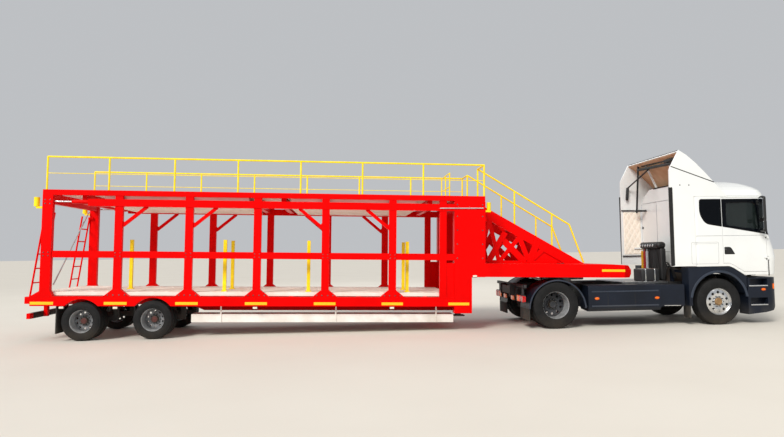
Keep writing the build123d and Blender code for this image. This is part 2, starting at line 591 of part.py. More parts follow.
def headlamps():
    # seen from above, each wraps the bumper's corner
    wrap = [(-100, 510), (2, 510), (2, 265), (-12, 190), (-50, 120), (-120, 60), (-200, 25), (-200, 90)]
    return both_sides(plate_xy([(BUMPER_FRONT + x, HALF_WIDTH - set_in) for x, set_in in wrap], (745, 905)))


def make_lamps():
    heads = headlamps()
    bar_x, end = FRAME_REAR - 60, HALF_WIDTH - 70
    tail_bar = slab((bar_x, FRAME_REAR), (-end, end), (900, 990))
    tails = both_sides(slab((bar_x - 35, bar_x), (end - 420, end - 50), (880, 1010)))
    return heads + [weld([tail_bar] + tails)]


# Behind the cab: a catwalk, a stand for the air lines, and the exhaust box.
LINE_TOP = 1700


def make_catwalk():
    deck = slab((6350, ENGINE_X[0] - 10), (-720, 720), (RAIL_Z[1], RAIL_Z[1] + 25))
    legs = [slab((7380, 7420), y, (RAIL_Z[1] + 25, LINE_TOP)) for y in ((30, 62), (418, 450))]
    stand = weld(legs + [slab((7370, 7430), (20, 460), (LINE_TOP, LINE_TOP + 160))])
    # the box stands in front of the circle that the neck's corners turn through
    box = slab((6860, 7300), (-640, -240), (RAIL_Z[1] + 25, 1240))
    return weld([deck, stand, box])


def make_air_lines():
    # three coiled lines hang from the stand, each one drawn as a fat tube
    return [post(7400, y, (1160, LINE_TOP), 34) for y in (120, 240, 360)]


SEAT_Y = HALF_WIDTH - 650
DASH_CLEAR = 25


def make_seats():
    seats = []
    for side in (-1, 1):
        y = side * SEAT_Y
        cushion = slab((8520, 9000), (y - 240, y + 240), (1640, 1780))
        back = plate_xz([(8420, 1760), (8560, 1700), (8480, 2360), (8380, 2360)], (y - 230, y + 230))
        head = slab((8360, 8450), (y - 130, y + 130), (2370, 2540))
        neck = slab((8390, 8430), (y - 40, y + 40), (2350, 2380))
        base = slab((8560, 8950), (y - 180, y + 180), (CAB_FLOOR, 1640))
        seats.append(weld([cushion, back, head, neck, base]))
    return seats


def make_dashboard():
    side = [(9120, 1560), (9080, 1800), (9180, 1960), (9560, 2020), (9700, 1560)]
    dash = plate_xz(side, (-HALF_WIDTH, HALF_WIDTH))
    tunnel = slab((8600, 9200), (-200, 200), (CAB_FLOOR, 1600))
    column = rod((9200, SEAT_Y, 1780), (9010, SEAT_Y, 1960), 35)
    axis = Plane(origin=(9000, SEAT_Y, 1970), z_dir=(-190, 0, 180))
    wheel = axis * Torus(225, 16)
    spokes = axis * Box(440, 40, 20)
    hub = axis * Cylinder(55, 40)
    # the doors' inner edges swing past its ends
    return weld([dash & cab_block(CAB_WALL + DASH_CLEAR), tunnel, column, wheel, spokes, hub])


# Mirrors: each housing hangs outside its door's window, and swings with the door.
MIRROR_PLAN = [(-227, 60), (-147, 50), (-162, 240), (-242, 255)]   # x and y from the hinge, seen from above
MIRROR_Z = (2030, 2840)
MIRROR_ARMS = ((-186, 2700), (-92, 2150))   # where each arm leaves the door: x from the hinge, height
MIRROR_GRIP = (-185, 90)                    # where the arms meet the housing, seen from above


def mirror_housing():
    # drawn on the left side
    plan = [(DOOR_HINGE_X + x, HALF_WIDTH + out) for x, out in MIRROR_PLAN]
    pieces = [plate_xy(plan, MIRROR_Z)]
    grip = (DOOR_HINGE_X + MIRROR_GRIP[0], HALF_WIDTH + MIRROR_GRIP[1])
    for x, z in MIRROR_ARMS:
        pieces.append(rod((DOOR_HINGE_X + x, HALF_WIDTH - 40, z), (*grip, z), 16))
    return weld(pieces) - cab_block(0)


# Trailer. Heights from here on are measured from the top of the lower floor.
TRAILER_REAR, BOX_FRONT, NECK_FRONT = -6270, 3090, 6440
BEAM_Z = (-284, -87)           # lower side beams
FRAME_LOW = -425
FLOOR_T = 75
MID_Z = (700, 840)
DEEP_Z = (1760, 1910)
DECK_Z = (1980, 2090)
SIDE_Y = (HALF_WIDTH - 100, HALF_WIDTH)
POST_Y = (HALF_WIDTH - 90, HALF_WIDTH - 10)
BRACE_Y = (HALF_WIDTH - 70, HALF_WIDTH - 30)
GIRDER_Y = (TRAILER_IN - 284, TRAILER_IN - 194)   # the two beams under the floor
DECK_HALF = SIDE_Y[0] - 5
POST_W = 160
REAR_POST = (-6095, -5890)
POST_XS = [-4580, -3160, -1757, -335, 1088]
# the front box starts at its column, and one more post stands a gap behind it
BOX_BACK, BOX_GAP, BOX_POST_W = 2420, 170, 150
BOX_POST = (BOX_BACK - BOX_GAP - BOX_POST_W, BOX_BACK - BOX_GAP)
BOX_COLUMN = (BOX_BACK, BOX_FRONT)
NECK_Z = (350, 640)
ARCH_TRAILER_R = 455
RAIL_TOP = 2770
TUBE = 19


def base_flare(x, spread_rear, spread_front):
    return plate_xz([(x - spread_rear, BEAM_Z[1]), (x + spread_front, BEAM_Z[1]), (x + POST_W / 2, 60),
                     (x - POST_W / 2, 60)], SIDE_Y)


def side_frame():
    # drawn on the left: posts, rails and knee braces
    pieces = [slab((x - POST_W / 2, x + POST_W / 2), POST_Y, (BEAM_Z[1], DECK_Z[0])) for x in POST_XS]
    pieces += [base_flare(x, 260, 260) for x in POST_XS]
    pieces.append(slab(REAR_POST, SIDE_Y, (BEAM_Z[1], DECK_Z[0])))
    pieces.append(plate_xz([(TRAILER_REAR, BEAM_Z[1]), (REAR_POST[1] + 60, BEAM_Z[1]), (REAR_POST[1], 40),
                            (REAR_POST[0], 20)], SIDE_Y))
    pieces.append(slab((BOX_POST[0], BOX_POST[1]), POST_Y, (BEAM_Z[1], DECK_Z[0])))
    pieces.append(slab((REAR_POST[1] - 20, BOX_COLUMN[0]), (POST_Y[0] + 5, POST_Y[1] - 5), MID_Z))
    pieces.append(slab((-5200, BOX_COLUMN[0]), SIDE_Y, DEEP_Z))
    pieces.append(slab((REAR_POST[0], BOX_FRONT), SIDE_Y, DECK_Z))
    pieces.append(plate_xz([(BOX_POST[0] + 60, BEAM_Z[1]), (BOX_COLUMN[0], BEAM_Z[1]), (BOX_COLUMN[0], 640),
                            (BOX_POST[0] + 60, 640)], (BRACE_Y[0] - 5, BRACE_Y[1] + 5)))
    # knee braces lean inwards from these posts: x, direction
    for x, lean in ((-4580, 1), (-3160, 1), (-335, -1), (1088, -1)):
        foot, head = (x + lean * POST_W / 2, 1370), (x + lean * 560, DEEP_Z[0] + 10)
        pieces.append(strut(foot, head, 70, BRACE_Y))
        gusset = [(x + lean * 40, 1250), (x + lean * 130, 1420), (x + lean * 40, 1500)]
        pieces.append(plate_xz(gusset, BRACE_Y))
    return weld(pieces)


STEP_DOWN_X = -2950   # in front of this the inner beams are deeper
AFT_LOW = -300
FLOOR_BEAM_XS = (-6180, -4580, -3160, -2460, -1757, -1046, -335, 377, 1088, 1800)
TRAY_XS = (-2460, -335, 1800)


def make_trailer_frame():
    side = slab((TRAILER_REAR, BOX_COLUMN[0]), SIDE_Y, BEAM_Z)
    for x in TRAILER_AXLE_XS:
        cx, cz = on_trailer(x, TRAILER_TYRE_R)
        side = side - across(cx, cz, ARCH_TRAILER_R)
    fore = slab((STEP_DOWN_X, BOX_COLUMN[0]), GIRDER_Y, (FRAME_LOW, -FLOOR_T))
    aft = slab((TRAILER_REAR + 20, STEP_DOWN_X), GIRDER_Y, (AFT_LOW, -FLOOR_T))
    ramp = plate_xz([(STEP_DOWN_X, FRAME_LOW), (STEP_DOWN_X, -FLOOR_T), (STEP_DOWN_X - 300, -FLOOR_T),
                     (STEP_DOWN_X - 300, AFT_LOW)], GIRDER_Y)
    rails = both_sides(side) + both_sides(fore) + both_sides(aft) + both_sides(ramp)
    crossings = [slab((x - 45, x + 45), (-SIDE_Y[0], SIDE_Y[0]), (-200, -FLOOR_T)) for x in FLOOR_BEAM_XS]
    outrigger = [slab((x - 45, x + 45), (-GIRDER_Y[0], GIRDER_Y[0]), (FRAME_LOW + 40, -190))
                 for x in TRAY_XS]
    # the bar across the tail hangs on two hooks under the sill
    hook_y = (GIRDER_Y[0] - 40, GIRDER_Y[1] - 40)
    guard_x, guard_z, guard_half = TRAILER_REAR - 50, (-560, -450), HALF_WIDTH - 150
    hooks = both_sides(slab((guard_x, guard_x + 80), hook_y, (guard_z[0], BEAM_Z[1])))
    bar = slab((guard_x - 70, guard_x), (-guard_half, guard_half), guard_z)
    sill = slab((TRAILER_REAR - 100, TRAILER_REAR + 30), (5 - HALF_WIDTH, HALF_WIDTH - 5), (-240, SILL_TOP))
    return weld(rails + crossings + outrigger + hooks + [bar, sill])


def make_lower_deck():
    return slab((TRAILER_REAR + 90, BOX_COLUMN[0] - 70), (-DECK_HALF, DECK_HALF), (-FLOOR_T, 0))


COLUMN_Y = (HALF_WIDTH - 220, HALF_WIDTH)
WALL_X = (2640, 2700)   # bulkhead at the front of the lower floor


def make_gooseneck():
    half = COLUMN_Y[0]
    column = slab(BOX_COLUMN, COLUMN_Y, (NECK_Z[0] - 5, DECK_Z[0]))
    leg = slab((BOX_COLUMN[0], WALL_X[1] + 100), COLUMN_Y, (FRAME_LOW, NECK_Z[1]))
    bulkhead = slab(WALL_X, (-half, half), (FRAME_LOW, NECK_Z[1]))
    header = slab((BOX_COLUMN[0] + 60, BOX_FRONT - 60), (-half, half), (DEEP_Z[0], DECK_Z[0]))
    girder = slab((BOX_COLUMN[0], WALL_X[0]), GIRDER_Y, (FRAME_LOW, -FLOOR_T))
    # the neck seen from the side, with its nose cut back in plan
    low, top = NECK_Z
    outline = [(WALL_X[1], low), (WALL_X[1], top - 70), (WALL_X[1] + 300, top), (NECK_FRONT - 540, top),
               (NECK_FRONT - 110, top - 20), (NECK_FRONT, top - 120), (NECK_FRONT, low + 80),
               (NECK_FRONT - 60, low)]
    side = plate_xz(outline, (-HALF_WIDTH, HALF_WIDTH))
    nose_cut = plate_xy([(NECK_FRONT - 260, HALF_WIDTH + 10), (NECK_FRONT + 10, HALF_WIDTH - 230),
                         (NECK_FRONT + 10, HALF_WIDTH + 10)], (NECK_Z[0] - 50, NECK_Z[1] + 50))
    neck = side - nose_cut - mirror(nose_cut, Plane.XZ)
    well = slab((2900, 4600), (350 - HALF_WIDTH, HALF_WIDTH - 350), (NECK_Z[0] - 10, NECK_Z[1] - 80))
    pairs = both_sides(column) + both_sides(leg) + both_sides(girder)
    return weld([neck - well] + pairs + [bulkhead, header])


def make_king_pin():
    # upright beside the standing lorry, under the neck's sloping skin
    top_x, top_z = on_trailer(KINGPIN_X, PLATE_TOP)
    flange = post(KINGPIN_X, 0, (PLATE_TOP + SEAT, PLATE_TOP + 120), 460)
    pin = post(KINGPIN_X, 0, (PLATE_TOP - 86, PLATE_TOP + 20), KINGPIN_R)
    level = TRAILER_PLACE.inverse() * weld([flange, pin])
    above = slab((top_x - 900, top_x + 900), (-900, 900), (NECK_Z[0], NECK_Z[0] + 400))
    return level - above


# Stairway from the upper deck down to the neck
STAIR_HALF = 575
STAIR_TOP, STAIR_FOOT = (BOX_FRONT, 1985), (5500, 665)
# struts under the stair's string: foot x, head x, depth
ZIGZAG = ((3120, 3330, 80), (3560, 3330, 90), (3560, 4030, 90), (4250, 4030, 110), (4250, 4560, 100))


def make_stairway():
    slope = (STAIR_FOOT[1] - STAIR_TOP[1]) / (STAIR_FOOT[0] - STAIR_TOP[0])
    deep = 250
    cheek_y = (STAIR_HALF - 12, STAIR_HALF + 28)
    bottom = NECK_Z[1]
    foot_x = STAIR_TOP[0] + (bottom - STAIR_TOP[1]) / slope
    under_foot = foot_x + deep / slope
    under_top = (STAIR_TOP[0], STAIR_TOP[1] - deep)
    string = plate_xz([STAIR_TOP, (foot_x, bottom), (under_foot, bottom), under_top], cheek_y)
    lattice = [slab((BOX_FRONT, 4900), cheek_y, (bottom, bottom + 60)),
               slab((BOX_FRONT, BOX_FRONT + 70), cheek_y, (bottom, 1900))]
    for foot, head, depth in ZIGZAG:
        head_z = under_top[1] + 10 + slope * (head - STAIR_TOP[0])
        lattice.append(strut((foot, bottom + 30), (head, head_z), depth, cheek_y))
    treads = []
    rise = 220
    count = int((STAIR_TOP[1] - bottom) / rise)
    for n in range(count):
        z = STAIR_TOP[1] - rise * (n + 0.6)
        x = STAIR_TOP[0] + (z - STAIR_TOP[1]) / slope
        treads.append(slab((x - 230, x + 20), (-STAIR_HALF + 12, STAIR_HALF - 12), (z - 30, z)))
    below = slab((BOX_FRONT, NECK_FRONT), (-HALF_WIDTH, HALF_WIDTH), (bottom - 300, bottom))
    return weld(both_sides(weld([string] + lattice)) + treads) - below


LANDING_X = 2400      # the front of the upper floor, where the plate at the stair's head begins
DECK_TOP = DECK_Z[0] + 60


def make_upper_deck():
    # cream trays with red cross beams between them
    wide = (-SIDE_Y[0], SIDE_Y[0])
    top = slab((REAR_POST[1], LANDING_X), wide, (DECK_Z[0] + 30, DECK_TOP))
    trays = [slab(x, wide, (DEEP_Z[0] + 20, DECK_Z[0] + 30)) for x in ((-4900, -1950), (-1080, 1600))]
    return weld([top] + trays)


def make_upper_frame():
    wide = (-SIDE_Y[0], SIDE_Y[0])
    beams = [slab((x - 50, x + 50), wide, (DEEP_Z[0] + 40, DECK_Z[0] + 30))
             for x in (REAR_POST[0] + 135, -5300, -1800, -1230, 1900)]
    landing = slab((LANDING_X, BOX_FRONT), wide, (DECK_Z[0], DECK_TOP))
    return beams + [landing]


def rail_run(xs, y, top):
    # upright tubes on the deck's edge, a top tube and a thin middle wire
    posts = [post(x, y, (DECK_Z[1], top), TUBE) for x in xs]
    rail = rod((xs[0], y, top), (xs[-1], y, top), TUBE)
    wire = rod((xs[0], y, (DECK_Z[1] + top) / 2), (xs[-1], y, (DECK_Z[1] + top) / 2), 7)
    ends = [Pos(x, y, top) * Sphere(TUBE) for x in (xs[0], xs[-1])]
    return posts + [rail, wire] + ends


RAIL_XS = [-6030, -4800, -3480, -2180, -875, 434, 1742, 3070]
RAIL_LINE_Y = HALF_WIDTH - 28
GATE_X = 2430


def make_handrails():
    runs = both_sides(weld(rail_run(RAIL_XS, RAIL_LINE_Y, RAIL_TOP)))
    # stair rails: start, bend and foot of each, at the stair's own sides
    start, bend, foot = (3070, RAIL_TOP), (5200, 1530), (5540, NECK_Z[1])
    y = STAIR_HALF + 8
    head, knee, toe = [(x, y, z) for x, z in (start, bend, foot)]
    stair = [rod(head, knee, TUBE), rod(knee, toe, TUBE)] + [Pos(*at) * Sphere(TUBE) for at in (knee, head)]
    slope = (bend[1] - start[1]) / (bend[0] - start[0])
    stair_slope = (STAIR_FOOT[1] - STAIR_TOP[1]) / (STAIR_FOOT[0] - STAIR_TOP[0])
    for x in (3920, 4790):
        on_string = STAIR_TOP[1] + stair_slope * (x - STAIR_TOP[0]) - 20
        stair.append(post(x, y, (on_string, start[1] + slope * (x - start[0])), TUBE))
    stair.append(post(start[0], y, (DECK_TOP, start[1]), TUBE))
    guard = [rod((start[0], y, RAIL_TOP), (start[0], RAIL_LINE_Y, RAIL_TOP), TUBE)]
    past_foot = STAIR_FOOT[0] + 500
    below = [STAIR_TOP, STAIR_FOOT, (past_foot, NECK_Z[1]), (past_foot, 0), (STAIR_TOP[0], 0)]
    below = plate_xz(below, (0, HALF_WIDTH))
    sides = both_sides(weld(stair + guard) - below)
    half, top = STAIR_HALF - 15, RAIL_TOP - 100
    gate = [post(GATE_X, at, (DECK_TOP, top), 14) for at in (-half, 0, half)]
    gate += [rod((GATE_X, -half, z), (GATE_X, half, z), 14) for z in (top, (top + DECK_TOP) / 2)]
    return [weld(runs + sides)] + [weld(gate)]


HANGER_XS = (-2500, -100, 2050)


def make_stowed_ramps():
    low, high = -632, -462
    outer = 190 - HALF_WIDTH
    tray = slab((STEP_DOWN_X - 160, 2430), (outer, outer + 420), (low, high))
    arm_z = (FRAME_LOW + 130, FRAME_LOW + 160)
    hangers = [slab((x - 15, x + 15), (outer - 14, outer), (low, arm_z[0] + 20)) for x in HANGER_XS]
    arms = [slab((x - 15, x + 15), (outer - 14, -GIRDER_Y[1]), arm_z) for x in HANGER_XS]
    return weld([tray] + hangers + arms)


def make_landing_legs():
    x, y = WALL_X[0] - 80, HALF_WIDTH - 355
    tube = slab((x - 55, x + 55), (y - 55, y + 55), (FRAME_LOW - 60, NECK_Z[0]))
    shoe = slab((x - 110, x + 130), (y - 115, y + 115), (FRAME_LOW - 85, FRAME_LOW - 60))
    return both_sides(weld([tube, shoe, slab((x + 20, WALL_X[0]), (y - 35, y + 35), (0, 200))]))


def make_trailer_axles():
    pieces = []
    arm_y = (GIRDER_Y[0] + 10, GIRDER_Y[1] - 10)
    drum_in, drum_out = TRAILER_IN - 114, TRAILER_IN - 29
    for x in TRAILER_AXLE_XS:
        cx, cz = on_trailer(x, TRAILER_TYRE_R)
        tube = disc(cx, (10 - drum_out, drum_out - 10), cz, 63)
        stubs = both_sides(disc(cx, (drum_out - 35, -TRAILER_CAP_Y - 15), cz, STUB_R))
        drums = both_sides(disc(cx, (drum_in, drum_out), cz, 165))
        arms = both_sides(slab((cx - 90, cx + 480), arm_y, (cz - 50, cz + 50)))
        bags = both_sides(post(cx - 20, sum(arm_y) / 2, (cz + 45, AFT_LOW), 45))
        hangers = both_sides(slab((cx + 400, cx + 500), arm_y, (cz - 60, AFT_LOW)))
        pieces.append(weld([tube] + stubs + drums + arms + bags + hangers))
    return pieces


SILL_TOP = -100


def make_ladders():
    # seen from the side each ladder leans back to the foot
    pieces = []
    for side in (-1, 1):
        ys = (side * (HALF_WIDTH - 550), side * (SIDE_Y[0] - 30))
        head, foot = (REAR_POST[0] + 10, 1650), (TRAILER_REAR - 60, SILL_TOP - 20)
        stiles = [rod((head[0], y, head[1]), (foot[0], y, foot[1]), 18) for y in ys]
        steps = []
        for n in range(1, 6):
            share = n / 6
            x, z = head[0] + share * (foot[0] - head[0]), head[1] + share * (foot[1] - head[1])
            steps.append(rod((x, ys[0], z), (x, ys[1], z), 14))
        hook_y = (side * (SIDE_Y[0] - 50), side * SIDE_Y[0])
        hook = slab((head[0] - 25, head[0] + 85), hook_y, (1600, head[1]))
        above = slab((foot[0] - 270, head[0] + 185), (-HALF_WIDTH, HALF_WIDTH), (SILL_TOP, 1800))
        pieces.append(weld(stiles + steps + [hook]) & above)
    return pieces


def make_stays():
    x, y = REAR_POST[0] + 135, SIDE_Y[0]
    rods = [rod((x, -y, 150), (x, y, 1700), 11), rod((x + 34, y, 150), (x + 34, -y, 1700), 11)]
    y, z = HALF_WIDTH - 50, 1850
    between = slab((x - 60, x + 90), (-SIDE_Y[0], SIDE_Y[0]), (0, DECK_Z[0]))
    ram = weld([rod((REAR_POST[1], y, z), (-5480, y, z), 14), rod((-5500, y, z), (-5200, y, z), 42)])
    return [item & between for item in rods] + both_sides(ram)


def make_stanchions():
    pieces = []
    # square posts on the lower floor: x, y
    near = 400 - HALF_WIDTH
    for x, y in ((-4700, 0), (-2480, near), (-2480, 100), (-700, near), (1440, near), (1440, 0)):
        upright = slab((x - 35, x + 35), (y - 35, y + 35), (0, 1100))
        pieces.append(weld([upright, slab((x - 60, x + 60), (y - 60, y + 60), (0, 20))]))
    # round guide drums on brackets behind the rear posts
    x, z, y = REAR_POST[0] - 130, 1740, HALF_WIDTH - 50
    drum = weld([post(x, y, (z, z + 190), 55), slab((x, REAR_POST[0]), (y - 40, y + 40), (z - 40, z))])
    pieces += both_sides(drum)
    # and one in front of the near column
    x, z, y = BOX_FRONT + 90, 1790, 60 - HALF_WIDTH
    bracket = slab((BOX_FRONT, x + 40), (y - 40, y + 40), (z - 40, z))
    return pieces + [weld([post(x, y, (z, z + 170), 45), bracket])]


def make_trailer_lamps():
    lamps = []
    on_skin = (HALF_WIDTH, HALF_WIDTH + 4)
    # reflector strips on the side beams: centre x
    for x in (-6130, -4600, -3180, -1757, -335, 1088, 2700):
        lamps += both_sides(slab((x - 160, x + 160), on_skin, (-245, -190)))
    lamps += both_sides(slab((5870, 6120), on_skin, (500, 550)))
    tail_x = TRAILER_REAR - 100
    lamps += both_sides(slab((tail_x - 20, tail_x), (HALF_WIDTH - 470, HALF_WIDTH - 70), (-235, -105)))
    return lamps


def make_trailer_flaps():
    x, z = on_trailer(TRAILER_AXLE_XS[0] - 480, 420)
    flap = slab((x - 12, x + 12), (TRAILER_IN - 34, HALF_WIDTH - 10), (z - 260, BEAM_Z[0]))
    return both_sides(flap)


def build():
    make_wheels()
    keep("chassis_frame", make_chassis())
    keep("engine_block", make_engine())
    keep("fifth_wheel", make_fifth_wheel())
    keep("front_axle", make_front_axle())
    left = knuckle()
    keep("knuckle_left", left)
    keep("knuckle_right", mirror(left, Plane.XZ))
    keep("tie_rod", make_tie_rod())
    keep("drive_axle", make_drive_axle())
    make_cab_parts()
    keep("grille", make_grille())
    sides, deflector = make_fairings()
    keep("side_fairings", sides)
    keep("roof_deflector", deflector)
    keep("front_bumper", make_bumper())
    keep("truck_fenders", make_fenders())
    keep("side_skirts", make_skirts())
    keep("truck_lamps", make_lamps())
    keep("catwalk", make_catwalk())
    keep("air_lines", make_air_lines())
    keep("seats", make_seats())
    keep("dashboard", make_dashboard())
    left_mirror = mirror_housing()
    keep("mirror_left", left_mirror)
    keep("mirror_right", mirror(left_mirror, Plane.XZ))
    left_side = side_frame()
    keep("side_frame_left", left_side, trailer=True)
    keep("side_frame_right", mirror(left_side, Plane.XZ), trailer=True)
    keep("trailer_frame", make_trailer_frame(), trailer=True)
    keep("lower_deck", make_lower_deck(), trailer=True)
    keep("gooseneck", make_gooseneck(), trailer=True)
    keep("king_pin", make_king_pin(), trailer=True)
    keep("stairs_ladders", [make_stairway()] + make_ladders(), trailer=True)
    keep("upper_deck", make_upper_deck(), trailer=True)
    keep("upper_frame", make_upper_frame(), trailer=True)
    keep("handrails", make_handrails(), trailer=True)
    keep("stowed_ramps", make_stowed_ramps(), trailer=True)
    keep("landing_legs", make_landing_legs(), trailer=True)
    keep("trailer_axles", make_trailer_axles(), trailer=True)
    keep("stays", make_stays(), trailer=True)
    keep("stanchions", make_stanchions(), trailer=True)
    keep("trailer_lamps", make_trailer_lamps(), trailer=True)
    keep("trailer_flaps", make_trailer_flaps(), trailer=True)


build()
boxes = [solid.bounding_box() for solids in NODES.values() for solid in solids]
CENTRE_X = (min(box.min.X for box in boxes) + max(box.max.X for box in boxes)) / 2
for name, solids in NODES.items():
    placed = [Pos(-CENTRE_X, 0, 0) * solid for solid in solids]
    export_step(placed[0] if len(placed) == 1 else Compound(children=placed), f"parts/{name}.step")
print(len(NODES), "nodes, centred by", round(CENTRE_X, 3))
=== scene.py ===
import math

import bmesh
import bpy
import numpy as np
from mathutils import Matrix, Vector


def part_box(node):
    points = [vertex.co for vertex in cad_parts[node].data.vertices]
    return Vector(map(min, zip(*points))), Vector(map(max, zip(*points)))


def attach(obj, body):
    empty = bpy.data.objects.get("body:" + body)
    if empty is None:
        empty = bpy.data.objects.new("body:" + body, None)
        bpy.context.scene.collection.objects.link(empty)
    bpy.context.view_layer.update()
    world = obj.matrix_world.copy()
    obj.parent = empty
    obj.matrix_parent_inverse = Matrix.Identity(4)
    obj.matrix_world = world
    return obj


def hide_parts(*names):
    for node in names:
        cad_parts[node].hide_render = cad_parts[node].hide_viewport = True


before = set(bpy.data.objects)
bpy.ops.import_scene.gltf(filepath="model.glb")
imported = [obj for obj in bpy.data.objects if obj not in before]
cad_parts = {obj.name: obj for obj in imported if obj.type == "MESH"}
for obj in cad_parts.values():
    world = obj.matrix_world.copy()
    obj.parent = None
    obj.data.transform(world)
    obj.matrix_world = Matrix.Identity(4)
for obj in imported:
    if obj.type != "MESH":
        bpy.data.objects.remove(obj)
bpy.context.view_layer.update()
print("frame loaded:", len(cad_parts), "nodes")

# The drawing's own x starts at a mark under the load floor; the front wheel ties it to the frame.
frontAxleDrawn = 8.329
lowTyre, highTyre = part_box("front_tyre_right")
shiftX = (lowTyre.x + highTyre.x) / 2 - frontAxleDrawn
halfWidth = 1.250
trailer = {"pitch": math.radians(1.343), "floorX": -0.0206, "floorZ": 0.8714}


def onLorry(points):
    # drawing metres to the frame: only x moves
    return np.asarray(points, float) + [shiftX, 0, 0]


def onTrailer(points):
    # the level trailer's metres to the standing one: x and z turned nose down by the pitch, then set on the
    # floor's mark
    x, y, z = np.moveaxis(np.asarray(points, float), -1, 0)
    c, s = math.cos(trailer["pitch"]), math.sin(trailer["pitch"])
    return np.stack([x * c + z * s + trailer["floorX"] + shiftX, y, z * c - x * s + trailer["floorZ"]], -1)


# camera
view = {"place": (shiftX, -14.392, 1.7023), "yaw": 0.0823, "pitch": 0.055, "roll": -0.0152,
        "focalPixels": 619.184, "photoWidth": 784, "sensor": 36.0}


def asMatrix(right, top, back, place):
    # three axes and a place as the columns of a 4 by 4 matrix
    return Matrix(np.vstack([np.column_stack([right, top, back, place]), [0, 0, 0, 1]]))


def makeCamera():
    # forward from yaw and pitch, right and up square to it, both then rolled about forward
    y, p, r = view["yaw"], view["pitch"], view["roll"]
    forward = np.array([math.sin(y) * math.cos(p), math.cos(y) * math.cos(p), math.sin(p)])
    right = np.array([math.cos(y), -math.sin(y), 0])
    up = np.cross(right, forward)
    side = math.cos(r) * right + math.sin(r) * up
    top = -math.sin(r) * right + math.cos(r) * up
    data = bpy.data.cameras.new("photoCamera")
    data.sensor_width = view["sensor"]
    data.lens = view["sensor"] * view["focalPixels"] / view["photoWidth"]
    data.clip_end = 600
    camera = bpy.data.objects.new("photoCamera", data)
    bpy.context.scene.collection.objects.link(camera)
    camera.matrix_world = asMatrix(side, top, -forward, view["place"])
    bpy.context.scene.camera = camera


makeCamera()


# finishes
def linear(colour):
    # an sRGB hex colour to linear light, with full alpha
    parts = np.array([int(colour[n:n + 2], 16) for n in (1, 3, 5)]) / 255
    return (*np.where(parts <= 0.04045, parts / 12.92, ((parts + 0.055) / 1.055) ** 2.4), 1.0)


def addNode(tree, kind, settings=(), values=(), links=()):
    # one node with its settings, its typed-in values and what feeds its sockets
    node = tree.nodes.new(kind)
    for name, value in dict(settings).items():
        setattr(node, name, value)
    for socket, value in dict(values).items():
        node.inputs[socket].default_value = value
    for socket, source in dict(links).items():
        tree.links.new(source, node.inputs[socket])
    return node


